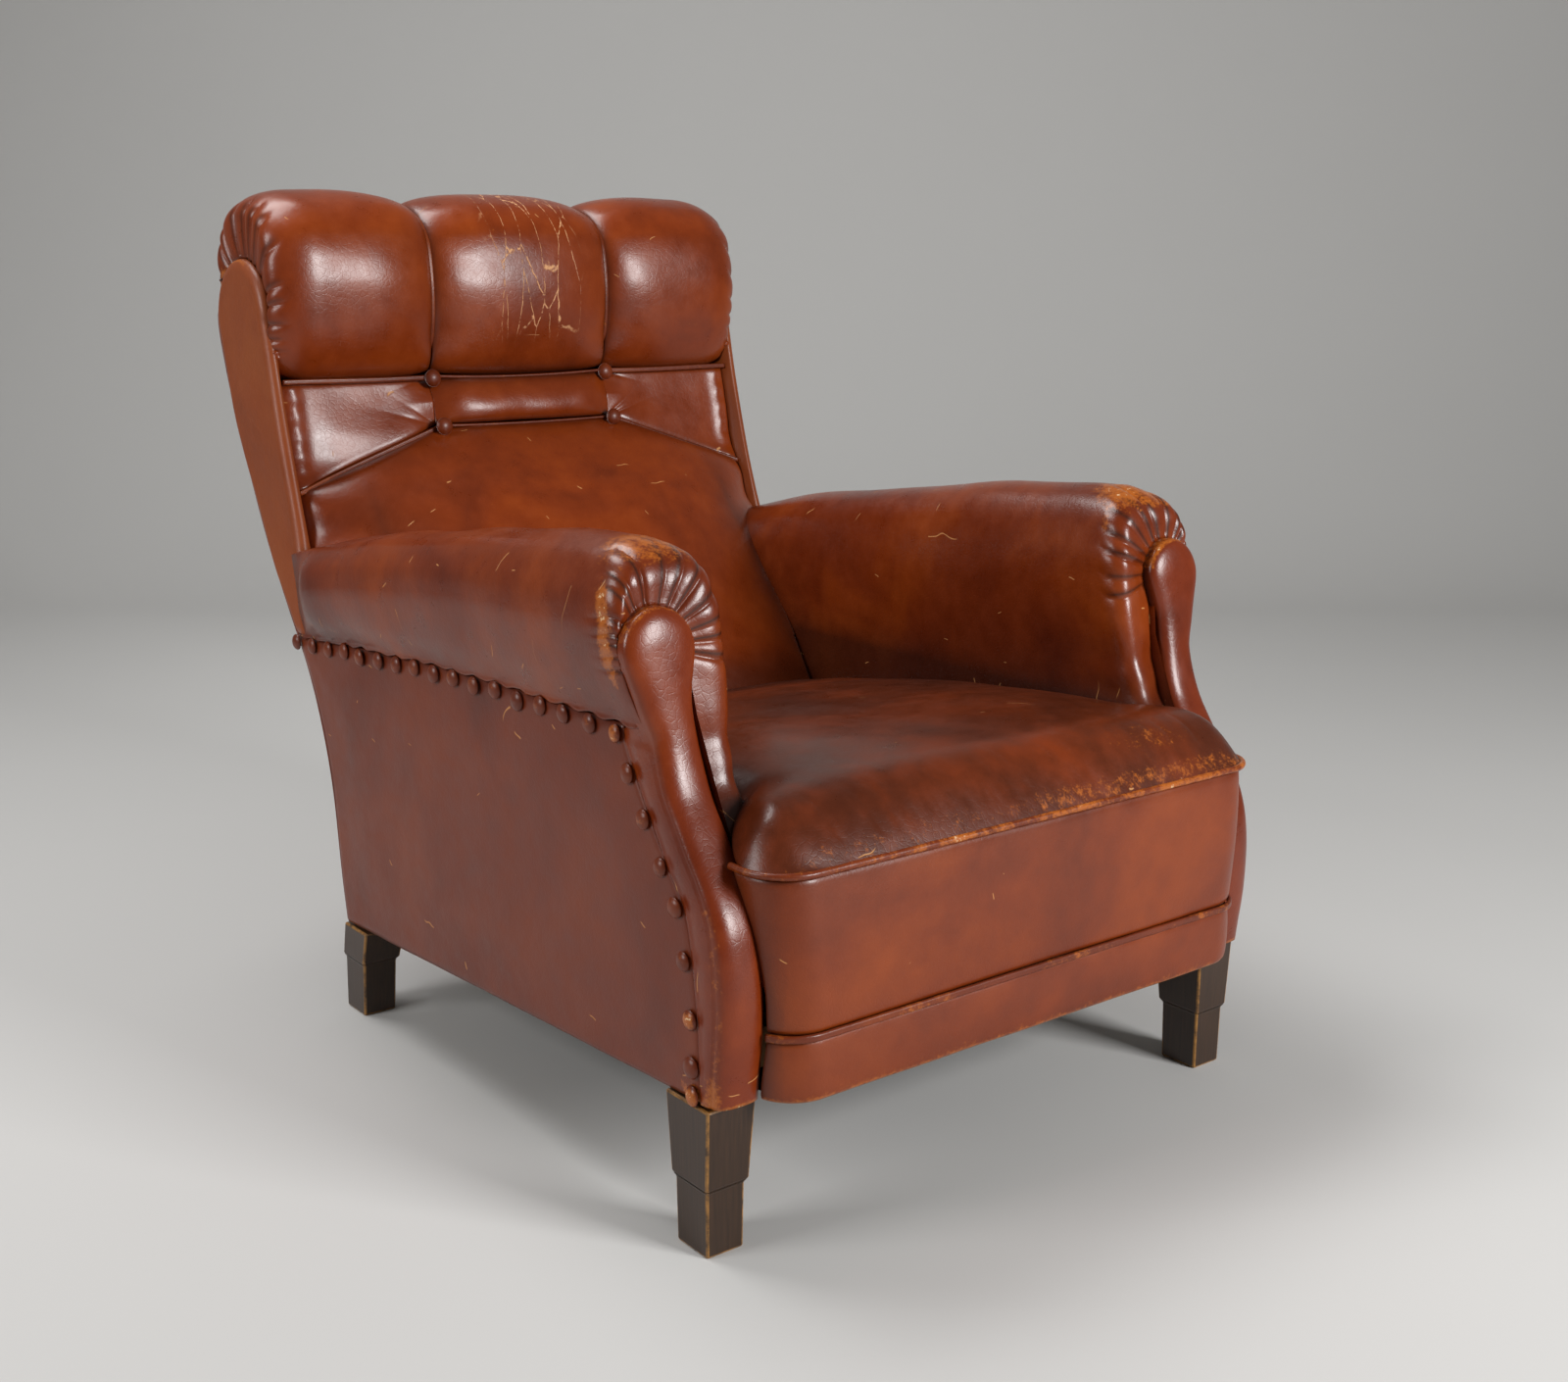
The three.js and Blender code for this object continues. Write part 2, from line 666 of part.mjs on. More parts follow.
// Neck of the back: a small bolster between the four buttons and a smooth panel on each side.
function neckBolster() {
  const rings = heights(-1, 1, 6).map((part) => {
    const x = part * (seamHalfWidth - 3);
    const bulge = 11 * (1 - part ** 4);
    return [
      point(x, 882, 668), point(x, 880 - bulge, 682), point(x, 884 - bulge, 706), point(x, 894, 721),
      point(x, rearPostFront(721) - 3, 721), point(x, rearPostFront(668) - 3, 668),
    ];
  });
  return cutAway(loft(rings, 'x'), ...buttonPockets);
}

function neckSide() {
  const rings = heights(seamHalfWidth + 1, backHalfWidth, 4).map((x) => {
    const low = lowerBackTopAt(x) + 1.5;
    const high = neckHeight - 3;
    const front = heights(low, high, 4).map((z) => point(x, backFrontEdge(z) + 4, z));
    return [...front, point(x, rearPostFront(high) - 3, high), point(x, rearPostFront(low) - 3, low)];
  });
  return cutAway(loft(rings, 'x'), ...buttonPockets);
}

// Section of the head roll; `shrink` draws it in towards the seams.
const rollMiddle = { depth: 960, height: 836 };
const rollOutline = [
  [894, 727], [874, 762], [863, 806], [862, 850], [872, 898], [900, 932], [945, 947], [995, 944],
  [1034, 922], [1056, 888], [1061, 858], [1054, 838],
];
const rollUnderside = [[1036, 838], [966, 838], [953, 760], [936, 727]];

function headRoll(from, to, shrinks) {
  const steps = shrinks.length - 1;
  const rings = shrinks.map((shrink, i) => {
    const x = THREE.MathUtils.lerp(from, to, i / steps);
    const skin = rollOutline.map(([depth, height]) => point(
      x,
      rollMiddle.depth + (depth - rollMiddle.depth) * (1 - shrink * 0.06),
      Math.max(727, rollMiddle.height + (height - rollMiddle.height) * (1 - shrink * 0.08)),
    ));
    skin[skin.length - 1].z = 838;
    return [...skin, ...rollUnderside.map(([depth, height]) => point(x, depth, height))];
  });
  return cutAway(loft(rings, 'x'), ...buttonPockets);
}

function backFacing() {
  const angles = heights(Math.PI, 0, 8);
  const arch = angles.map((angle) => [969 + 70 * Math.cos(angle), 795 + 70 * Math.sin(angle)]);
  const rearEdgeHeights = rearHeights.filter((height) => height > 446 && height < 790).reverse();
  const rearEdge = rearEdgeHeights.map((height) => [rearFace(height) - gap, height]);
  const frontEdge = [[796, 444], [829, 551], [854, 629], [880, 718]];
  return sidePlate([...frontEdge, ...arch, ...rearEdge], backFacingInner, backFacingOuter);
}

// The outside back is one leather panel that follows the rake of the uprights.
const outsideBackHalfWidth = smoothThrough([
  [110, panelOuter], [430, panelOuter], [541, 341], [672, 338], [840, 336],
]);

function outsideBack() {
  return stack(rearHeights.map((height) => ({
    left: -outsideBackHalfWidth(height),
    right: outsideBackHalfWidth(height),
    front: rearFace(height) + gap,
    rear: rearFace(height) + gap + panelThickness,
    height,
  })));
}

addPiece('lower_back_pad', lowerBack(), leather);
addPiece('neck_bolster', neckBolster(), leather);
addPair('neck_side', neckSide(), leather);
const middlePuff = headRoll(-seamHalfWidth + gap, seamHalfWidth - gap, [1, 0.35, 0, 0.35, 1]);
const outerPuff = headRoll(seamHalfWidth + gap, backFacingInner - gap, [1, 0.35, 0, 0.2, 0.6]);
addPiece('head_roll_middle', middlePuff, leather);
addPair('head_roll', outerPuff, leather);
addPair('back_facing', backFacing(), wornLeather);
addPiece('outside_back', outsideBack(), leather);

function button() {
  const profile = [[0, -3], [buttonRadius * 0.8, -3], [buttonRadius, 0], [buttonRadius * 0.75, 4], [0, 6]];
  const geometry = new THREE.LatheGeometry(profile.map(([x, y]) => new THREE.Vector2(x, y)), 12);
  geometry.rotateX(Math.PI);
  return geometry;
}

buttons.forEach(({ name, across, depth, height }) => {
  addPiece(name, button(), leather).position.set(across, depth, height);
});

// The origin is the middle of the footprint, on the floor.
const bounds = new THREE.Box3().setFromObject(chair);
chair.position.y = -(bounds.min.y + bounds.max.y) / 2;
chair.updateMatrixWorld(true);

export default chair;
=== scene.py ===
import math

import bmesh
import bpy
import numpy as np
from mathutils import Matrix, Vector


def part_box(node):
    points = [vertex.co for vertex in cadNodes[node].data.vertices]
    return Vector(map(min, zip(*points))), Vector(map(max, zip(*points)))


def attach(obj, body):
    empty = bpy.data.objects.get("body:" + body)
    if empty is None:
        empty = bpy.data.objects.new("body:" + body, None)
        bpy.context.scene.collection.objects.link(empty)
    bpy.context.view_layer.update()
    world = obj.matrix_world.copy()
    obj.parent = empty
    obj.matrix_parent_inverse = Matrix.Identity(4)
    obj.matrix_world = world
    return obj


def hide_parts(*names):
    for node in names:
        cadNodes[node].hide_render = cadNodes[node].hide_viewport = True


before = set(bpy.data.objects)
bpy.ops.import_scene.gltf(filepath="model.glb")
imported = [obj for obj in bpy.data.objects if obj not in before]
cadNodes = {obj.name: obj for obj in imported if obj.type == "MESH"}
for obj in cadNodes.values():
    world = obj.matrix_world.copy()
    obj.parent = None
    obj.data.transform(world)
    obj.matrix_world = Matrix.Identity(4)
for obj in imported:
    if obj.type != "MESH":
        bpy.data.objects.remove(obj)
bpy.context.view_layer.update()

# Lengths are in millimetres until a mesh is made; the stage and the lights are in metres. Depths count from
# the front face of the front legs, which stands 8 mm behind the flare at the top of each leg.
metre = 0.001
legFlare = 8
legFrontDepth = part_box("front_leg_left")[0].y / metre + legFlare
sideName = {-1: "left", 1: "right"}


def hexColour(code):
    channels = [int(code[i:i + 2], 16) / 255 for i in (1, 3, 5)]
    return tuple(c / 12.92 if c <= 0.04045 else ((c + 0.055) / 1.055) ** 2.4 for c in channels) + (1.0,)


def smoothStep(low, high, value):
    t = np.clip((value - low) / (high - low), 0, 1)
    return t * t * (3 - 2 * t)


def blendTo(a, b, t):
    return a + (b - a) * t


def curveThrough(pairs):
    # a smooth curve through (position, value) pairs, held level past both ends
    places, values = np.array(pairs, float).T
    slopes = np.gradient(values)
    slopes[1:-1] = (values[2:] - values[:-2]) / (places[2:] - places[:-2])
    slopes[0] = (values[1] - values[0]) / (places[1] - places[0])
    slopes[-1] = (values[-1] - values[-2]) / (places[-1] - places[-2])

    def read(position):
        held = np.clip(position, places[0], places[-1])
        i = np.clip(np.searchsorted(places, held, side="right") - 1, 0, len(places) - 2)
        span = places[i + 1] - places[i]
        t = (held - places[i]) / span
        rise = t * t * (3 - 2 * t)
        leave = t * (1 - t) ** 2 * span * slopes[i]
        arrive = t * t * (t - 1) * span * slopes[i + 1]
        return values[i] * (1 - rise) + values[i + 1] * rise + leave + arrive

    return read


# The chair's driving curves, the same as the frame's: depth or height against height or depth.
armFrontFace = curveThrough([
    (148, -22), (214, -29), (268, -29), (320, -17), (378, 22), (416, 47), (458, 61), (530, 72), (575, 78),
])
nailedFrontEdge = curveThrough([
    (148, 13), (222, 16), (274, 23), (318, 34), (351, 57), (387, 82), (421, 105), (458, 127),
])
armPadFront = curveThrough([
    (262, -14), (300, -8), (340, 6), (378, 34), (416, 60), (458, 74), (530, 86), (575, 92), (610, 104),
    (630, 128),
])
armPadRear = curveThrough([
    (262, 590), (340, 640), (440, 715), (480, 760), (520, 805), (560, 822), (630, 830),
])
nailLine = curveThrough([(60, 461), (128, 460), (399, 456), (574, 447), (817, 429), (840, 427)])
rollTop = curveThrough([(60, 630), (152, 627), (305, 616), (505, 592), (669, 570), (801, 544), (840, 536)])
rearFace = curveThrough([
    (109, 725), (156, 733), (272, 745), (361, 774), (429, 817), (541, 925), (672, 1003), (764, 1033),
    (840, 1050),
])
backFrontMiddle = curveThrough([
    (330, 597), (380, 626), (430, 661), (480, 693), (513, 716), (551, 746), (590, 782), (630, 826),
    (668, 866),
])
backFrontEdge = curveThrough([
    (330, 618), (430, 703), (513, 788), (551, 834), (585, 846), (620, 864), (668, 872), (724, 890),
])
facingInnerEdge = curveThrough([(148, 301), (430, 301), (490, 304), (530, 297), (538, 296)])
facingOuterEdge = curveThrough([(148, 349), (457, 349), (490, 358), (530, 369), (538, 370)])
knob = {"across": 333, "height": 538, "radius": 37}


def underside(depth):
    return blendTo(148, 109, (depth - 16) / (725 - 16))


def backFront(x, z):
    return blendTo(backFrontMiddle(z), backFrontEdge(z), np.minimum(np.abs(x) / 322, 1) ** 4)


def ripple(points, size, seed):
    # gentle unevenness of stuffing, about -1 to 1, with lumps of the given size
    dice = np.random.default_rng(seed)
    total = np.zeros(points.shape[:-1])
    for _ in range(7):
        direction = dice.normal(size=3)
        direction /= np.linalg.norm(direction)
        wave = 2 * math.pi / (size * dice.uniform(0.75, 1.6))
        total += np.sin(points @ direction * wave + dice.uniform(0, 2 * math.pi))
    return total / 3.2


def creases(position, places, width):
    # 1 in the middle of each crease, falling off sharply on both sides
    gaps = np.abs(np.asarray(position)[..., None] - np.asarray(places))
    return np.exp(-gaps / width).max(axis=-1)


def surfaceNormals(grid):
    along = np.gradient(grid, axis=0)
    across = np.gradient(grid, axis=1)
    normals = np.cross(along, across)
    lengths = np.linalg.norm(normals, axis=-1, keepdims=True)
    return normals / np.maximum(lengths, 1e-9)


def pushed(grid, amount, outside):
    # moves a grid of points along its own normals; outside is a point that the normals lead away from
    normals = surfaceNormals(grid)
    middle = tuple(n // 2 for n in grid.shape[:2])
    if np.dot(normals[middle], grid[middle] - np.asarray(outside)) < 0:
        normals = -normals
    return grid + normals * amount[..., None]


def addObject(name, data):
    thing = bpy.data.objects.new(name, data)
    bpy.context.scene.collection.objects.link(thing)
    return thing


def makeMesh(name, points, faces):
    placed = (np.asarray(points, float) + (0, legFrontDepth, 0)) * metre
    mesh = bpy.data.meshes.new(name)
    mesh.from_pydata(placed.tolist(), [], faces)
    shape = bmesh.new()
    shape.from_mesh(mesh)
    bmesh.ops.remove_doubles(shape, verts=shape.verts, dist=2e-6)
    bmesh.ops.dissolve_degenerate(shape, edges=shape.edges, dist=2e-6)
    bmesh.ops.recalc_face_normals(shape, faces=shape.faces)
    if shape.calc_volume(signed=True) < 0:
        bmesh.ops.reverse_faces(shape, faces=shape.faces)
    shape.to_mesh(mesh)
    shape.free()
    mesh.shade_smooth()
    return addObject(name, mesh)


def closedSkin(name, rings):
    # a closed piece through rings of equal count, each ring closed on itself, with both ends capped
    rings = np.asarray(rings, float)
    steps, count = rings.shape[:2]
    i, j = np.meshgrid(np.arange(steps - 1), np.arange(count), indexing="ij")
    here = i * count + j
    beside = i * count + (j + 1) % count
    faces = np.stack([here, beside, beside + count, here + count], axis=-1).reshape(-1, 4).tolist()
    faces.append(list(range(count))[::-1])
    faces.append([(steps - 1) * count + k for k in range(count)])
    return makeMesh(name, rings.reshape(-1, 3), faces)


def scenePoints(piece):
    # a mesh's points back in millimetres, with depths from the front legs
    flat = np.zeros(len(piece.data.vertices) * 3)
    piece.data.vertices.foreach_get("co", flat)
    return flat.reshape(-1, 3) / metre - (0, legFrontDepth, 0)


def paint(piece, layer, values):
    marks = piece.data.attributes.get(layer) or piece.data.attributes.new(layer, "FLOAT", "POINT")
    marks.data.foreach_set("value", np.clip(values, 0, 1).astype(np.float32))


def register(piece, slotName, material, *nodes):
    piece.data.materials.clear()
    piece.data.materials.append(material)
    # every piece carries a wear mask and a painted-shade mask for its creases and joints, zero unless set
    for layer in ("wear", "paintedShade"):
        if layer not in piece.data.attributes:
            paint(piece, layer, np.zeros(len(piece.data.vertices)))
    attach(piece, "root")
    if nodes:
        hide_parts(*nodes)
    return piece


def spaced(controls, count):
    # evenly spaced points on a smooth line through the control points
    controls = np.asarray(controls, float)
    steps = np.linalg.norm(np.diff(controls, axis=0), axis=1)
    travel = np.concatenate([[0], np.cumsum(steps)])
    reads = [curveThrough(np.column_stack([travel, controls[:, k]])) for k in range(controls.shape[1])]
    fine = np.linspace(0, travel[-1], 600)
    line = np.column_stack([read(fine) for read in reads])
    run = np.concatenate([[0], np.cumsum(np.linalg.norm(np.diff(line, axis=0), axis=1))])
    places = np.linspace(0, run[-1], count)
    return np.column_stack([np.interp(places, run, line[:, k]) for k in range(line.shape[1])])


cameraValues = {
    "place": (-1205.8, -1218.3, 860),
    "turn": -37.7676,
    "pitch": 12.917,
    "focal": 1888.06,
    "frameWidth": 1600,
    "sensor": 36,
}


def makeCamera():
    v = cameraValues
    data = bpy.data.cameras.new("camera")
    camera = addObject("camera", data)
    camera.location = Vector(v["place"]) * metre + Vector((0, legFrontDepth * metre, 0))
    camera.rotation_euler = (math.radians(90 - v["pitch"]), 0, math.radians(v["turn"]))
    data.sensor_width = v["sensor"]
    data.lens = v["focal"] / v["frameWidth"] * v["sensor"]
    data.clip_start = 0.05
    data.clip_end = 60
    bpy.context.scene.camera = camera


def addNode(tree, kind, settings=None, inputs=None):
    # adds a node; settings are its properties, inputs are values or sockets to link
    node = tree.nodes.new(kind)
    for key, value in (settings or {}).items():
        setattr(node, key, value)
    for key, value in (inputs or {}).items():
        if isinstance(value, bpy.types.NodeSocket):
            tree.links.new(value, node.inputs[key])
        else:
            node.inputs[key].default_value = value
    return node


def newMaterial(name):
    material = bpy.data.materials.new(name)
    material.use_nodes = True
    material.node_tree.nodes.clear()
    return material, material.node_tree


def finishShader(tree, inputs):
    shader = addNode(tree, "ShaderNodeBsdfPrincipled", inputs=inputs)
    addNode(tree, "ShaderNodeOutputMaterial", inputs={"Surface": shader.outputs[0]})


stageValues = {
    "floor": "#C6C5C3",
    "halfWidth": 6.0,
    "front": -5.0,
    "rear": 2.6,
    "sweep": 1.2,
    "wall": 4.0,
}


def makeStage():
    # a pale sheet that runs along the floor and sweeps up into the background
    v = stageValues
    turned = math.radians(cameraValues["turn"])
    arc = [(v["rear"] + v["sweep"] * math.sin(a), v["sweep"] * (1 - math.cos(a)))
           for a in np.linspace(0, math.pi / 2, 16)]
    profile = [(v["front"], 0.0), *arc, (v["rear"] + v["sweep"], v["wall"])]
    points = []
    for depth, height in profile:
        for across in (-v["halfWidth"], v["halfWidth"]):
            spot = Matrix.Rotation(turned, 3, "Z") @ Vector((across, depth, height))
            points.append(spot)
    faces = [(2 * k, 2 * k + 1, 2 * k + 3, 2 * k + 2) for k in range(len(profile) - 1)]
    mesh = bpy.data.meshes.new("floor")
    mesh.from_pydata(points, [], faces)
    mesh.shade_smooth()
    floor = addObject("floor", mesh)
    material, tree = newMaterial("matt_painted_floor")
    spots = addNode(tree, "ShaderNodeTexCoord")
    cloud = addNode(tree, "ShaderNodeTexNoise", inputs={"Vector": spots.outputs["Object"], "Scale": 1.2})
    base = hexColour(v["floor"])
    tint = addNode(tree, "ShaderNodeMix", {"data_type": "RGBA"}, {
        0: cloud.outputs["Fac"], 6: tuple(c * 0.96 for c in base[:3]) + (1,), 7: base})
    finishShader(tree, {
        "Base Color": tint.outputs[2], "Roughness": 0.85})
    mesh.materials.append(material)


lightValues = [
    # name, place, aimed at, width, height, watts
    ("key", (0.9, -3.2, 1.55), (0.0, 0.1, 0.5), 1.0, 1.0, 108),
    ("left_fill", (-3.4, 0.4, 2.0), (0.0, 0.0, 0.5), 1.4, 1.4, 58),
    ("overhead", (-0.6, 1.1, 3.2), (0.0, 0.1, 0.4), 1.6, 1.4, 62),
]


worldValues = {"colour": "#ECEAE6", "strength": 0.17}


def makeLights():
    for name, place, target, width, height, watts in lightValues:
        data = bpy.data.lights.new(name, "AREA")
        data.shape = "RECTANGLE"
        data.size = width
        data.size_y = height
        data.energy = watts
        lamp = addObject(name, data)
        lamp.location = place
        aim = Vector(target) - Vector(place)
        lamp.rotation_euler = aim.to_track_quat("-Z", "Y").to_euler()
    world = bpy.data.worlds.new("studio")
    world.use_nodes = True
    background = world.node_tree.nodes["Background"]
    background.inputs["Color"].default_value = hexColour(worldValues["colour"])
    background.inputs["Strength"].default_value = worldValues["strength"]
    bpy.context.scene.world = world
    bpy.context.scene.view_settings.view_transform = "Standard"


makeCamera()
makeStage()
makeLights()
print("camera, floor and lights")

# Aniline-dyed, wax-polished cowhide: a dark top colour rubbed over a redder one, a closed glossy grain,
# tan under-hide where the finish has rubbed through, and pale cracks where it has dried out.
leatherValues = {
    "cloud": 150,     # size of the light and dark clouds in the dye
    "patch": 26,      # smaller blotches inside them
    "grain": 0.9,     # the pebbles of the grain
    "wrinkle": 7.0,   # the net of fine creases
    "rub": 9.0,       # ragged edge of a rubbed place
    "fleck": 2.4,     # small chips in the finish
}


def perMetre(size):
    return 1000 / size


def scratchMarks(tree, coords, cell, length, width, share, seed):
    # short thin lines, one in some of the cells, each turned its own way
    bend = addNode(tree, "ShaderNodeTexNoise", {"noise_dimensions": "3D"}, {
        "Vector": coords, "Scale": perMetre(cell * 0.8), "Detail": 1.0})
    shift = addNode(tree, "ShaderNodeVectorMath", {"operation": "SCALE"}, {
        0: bend.outputs["Color"], "Scale": cell * metre * 0.35})
    moved = addNode(tree, "ShaderNodeVectorMath", {"operation": "ADD"}, {0: coords, 1: shift.outputs[0]})
    placed = addNode(tree, "ShaderNodeVectorMath", {"operation": "ADD"}, {
        0: moved.outputs[0], 1: (seed * 0.37, seed * 0.21, seed * 0.53)})
    cells = addNode(tree, "ShaderNodeTexVoronoi", inputs={
        "Vector": placed.outputs[0], "Scale": perMetre(cell)})
    scaled = addNode(tree, "ShaderNodeVectorMath", {"operation": "SCALE"}, {
        0: placed.outputs[0], "Scale": perMetre(cell)})
    middle = addNode(tree, "ShaderNodeVectorMath", {"operation": "SCALE"}, {
        0: cells.outputs["Position"], "Scale": perMetre(cell)})
    local = addNode(tree, "ShaderNodeVectorMath", {"operation": "SUBTRACT"}, {
        0: scaled.outputs[0], 1: middle.outputs[0]})
    parts = addNode(tree, "ShaderNodeSeparateColor", inputs={0: cells.outputs["Color"]})
    turn = addNode(tree, "ShaderNodeMath", {"operation": "MULTIPLY"}, {0: parts.outputs[0], 1: 6.28})
    turned = addNode(tree, "ShaderNodeVectorRotate", {"rotation_type": "AXIS_ANGLE"}, {
        "Vector": local.outputs[0], "Axis": (0.48, 0.62, 0.62), "Angle": turn.outputs[0]})
    axes = addNode(tree, "ShaderNodeSeparateXYZ", inputs={0: turned.outputs[0]})
    ends = addNode(tree, "ShaderNodeMath", {"operation": "ABSOLUTE"}, {0: axes.outputs[0]})
    inLength = addNode(tree, "ShaderNodeMapRange", {"interpolation_type": "SMOOTHSTEP"}, {
        0: ends.outputs[0], 1: length / cell / 2, 2: length / cell / 4, 3: 0, 4: 1})
    aside = addNode(tree, "ShaderNodeMath", {"operation": "ABSOLUTE"}, {0: axes.outputs[1]})
    inWidth = addNode(tree, "ShaderNodeMapRange", {"interpolation_type": "SMOOTHSTEP"}, {
        0: aside.outputs[0], 1: width / cell, 2: 0, 3: 0, 4: 1})
    chosen = addNode(tree, "ShaderNodeMath", {"operation": "LESS_THAN"}, {0: parts.outputs[1], 1: share})
    line = addNode(tree, "ShaderNodeMath", {"operation": "MULTIPLY"}, {
        0: inLength.outputs[0], 1: inWidth.outputs[0]})
    shown = addNode(tree, "ShaderNodeMath", {"operation": "MULTIPLY"}, {
        0: line.outputs[0], 1: chosen.outputs[0]})
    return shown.outputs[0]


def makeLeather(name, dark, middle, light, roughness=0.3, rub="#A6581A", bare="#E2BE92", scratches=0.2,
                seed=1.0, cracked=False):
    v = leatherValues
    material, tree = newMaterial(name)
    spots = addNode(tree, "ShaderNodeTexCoord")
    mapped = addNode(tree, "ShaderNodeMapping", inputs={
        "Vector": spots.outputs["Object"], "Location": (seed * 0.31, seed * 0.17, seed * 0.23)})
    coords = mapped.outputs[0]
    wear = addNode(tree, "ShaderNodeAttribute", {"attribute_name": "wear"})
    paintedShade = addNode(tree, "ShaderNodeAttribute", {"attribute_name": "paintedShade"})

    # dye: big clouds and smaller blotches between three browns
    cloud = addNode(tree, "ShaderNodeTexNoise", inputs={
        "Vector": coords, "Scale": perMetre(v["cloud"]), "Detail": 3.0, "Roughness": 0.55, "Distortion": 0.5})
    patch = addNode(tree, "ShaderNodeTexNoise", inputs={
        "Vector": coords, "Scale": perMetre(v["patch"]), "Detail": 4.0, "Roughness": 0.6})
    clouds = addNode(tree, "ShaderNodeMath", {"operation": "MULTIPLY_ADD"}, {
        0: patch.outputs["Fac"], 1: 0.35, 2: cloud.outputs["Fac"]})
    dye = addNode(tree, "ShaderNodeValToRGB", inputs={0: clouds.outputs[0]})
    ramp = dye.color_ramp
    ramp.elements[0].position = 0.36
    ramp.elements[0].color = hexColour(dark)
    ramp.elements[1].position = 0.98
    ramp.elements[1].color = hexColour(light)
    centre = ramp.elements.new(0.66)
    centre.color = hexColour(middle)
    # painted shade: a per-point mask darkens the dye towards near-black brown in creases, seams and joints,
    # where shade falls
    shadedDye = addNode(tree, "ShaderNodeMix", {"data_type": "RGBA"}, {
        0: paintedShade.outputs["Fac"], 6: dye.outputs[0], 7: hexColour("#2A120B")})

    # wear: where the painted amount beats a ragged noise the finish is rubbed tan, and further in it is bare
    rag = addNode(tree, "ShaderNodeTexNoise", inputs={
        "Vector": coords, "Scale": perMetre(v["rub"]), "Detail": 5.0, "Roughness": 0.65})
    fleck = addNode(tree, "ShaderNodeTexNoise", inputs={
        "Vector": coords, "Scale": perMetre(v["fleck"]), "Detail": 2.0})
    rough = addNode(tree, "ShaderNodeMath", {"operation": "MULTIPLY_ADD"}, {
        0: fleck.outputs["Fac"], 1: 0.5, 2: rag.outputs["Fac"]})
    over = addNode(tree, "ShaderNodeMath", {"operation": "SUBTRACT"}, {
        0: wear.outputs["Fac"], 1: rough.outputs[0]})
    rubbed = addNode(tree, "ShaderNodeMapRange", {"interpolation_type": "SMOOTHSTEP"}, {
        0: over.outputs[0], 1: -0.42, 2: -0.08, 3: 0, 4: 1})
    bared = addNode(tree, "ShaderNodeMapRange", {"interpolation_type": "SMOOTHSTEP"}, {
        0: over.outputs[0], 1: 0.0, 2: 0.12, 3: 0, 4: 1})
    tanned = addNode(tree, "ShaderNodeMix", {"data_type": "RGBA"}, {
        0: rubbed.outputs[0], 6: shadedDye.outputs[2], 7: hexColour(rub)})
    paled = addNode(tree, "ShaderNodeMix", {"data_type": "RGBA"}, {
        0: bared.outputs[0], 6: tanned.outputs[2], 7: hexColour(bare)})

    # scratches through the finish, long and fine or short and broad
    longMarks = scratchMarks(tree, coords, 62, 30, 0.45, scratches * 0.5, seed)
    shortMarks = scratchMarks(tree, coords, 30, 8, 0.8, scratches, seed + 4)
    marks = addNode(tree, "ShaderNodeMath", {"operation": "MAXIMUM"}, {0: longMarks, 1: shortMarks})
    faint = addNode(tree, "ShaderNodeMath", {"operation": "MULTIPLY"}, {0: marks.outputs[0], 1: 0.75})
    scratched = addNode(tree, "ShaderNodeMix", {"data_type": "RGBA"}, {
        0: faint.outputs[0], 6: paled.outputs[2], 7: hexColour("#D79A5C")})

    surface, opened = scratched.outputs[2], faint.outputs[0]
    if cracked:
        # dried-out finish: long upright cracks and short level ones over the painted part
        stretched = addNode(tree, "ShaderNodeMapping", inputs={
            "Vector": coords, "Scale": (perMetre(20), perMetre(110), perMetre(95))})
        bent = addNode(tree, "ShaderNodeTexNoise", inputs={
            "Vector": coords, "Scale": perMetre(16), "Detail": 3.0})
        swayed = addNode(tree, "ShaderNodeMix", {"data_type": "VECTOR"}, {
            0: 0.14, 4: stretched.outputs[0], 5: bent.outputs["Color"]})
        cells = addNode(tree, "ShaderNodeTexVoronoi", {"feature": "DISTANCE_TO_EDGE"}, {
            "Vector": swayed.outputs[1], "Scale": 1.0})
        crackLine = addNode(tree, "ShaderNodeMapRange", {"interpolation_type": "SMOOTHSTEP"}, {
            0: cells.outputs["Distance"], 1: 0.005, 2: 0.02, 3: 1, 4: 0})
        where = addNode(tree, "ShaderNodeAttribute", {"attribute_name": "cracks"})
        broken = addNode(tree, "ShaderNodeMapRange", {"interpolation_type": "SMOOTHSTEP"}, {
            0: rag.outputs["Fac"], 1: 0.42, 2: 0.54, 3: 0, 4: 1})
        masked = addNode(tree, "ShaderNodeMath", {"operation": "MULTIPLY"}, {
            0: where.outputs["Fac"], 1: broken.outputs[0]})
        shownCracks = addNode(tree, "ShaderNodeMath", {"operation": "MULTIPLY"}, {
            0: crackLine.outputs[0], 1: masked.outputs[0]})
        lightened = addNode(tree, "ShaderNodeMix", {"data_type": "RGBA"}, {
            0: shownCracks.outputs[0], 6: surface, 7: hexColour("#D8A070")})
        deepest = addNode(tree, "ShaderNodeMath", {"operation": "MAXIMUM"}, {
            0: opened, 1: shownCracks.outputs[0]})
        surface, opened = lightened.outputs[2], deepest.outputs[0]

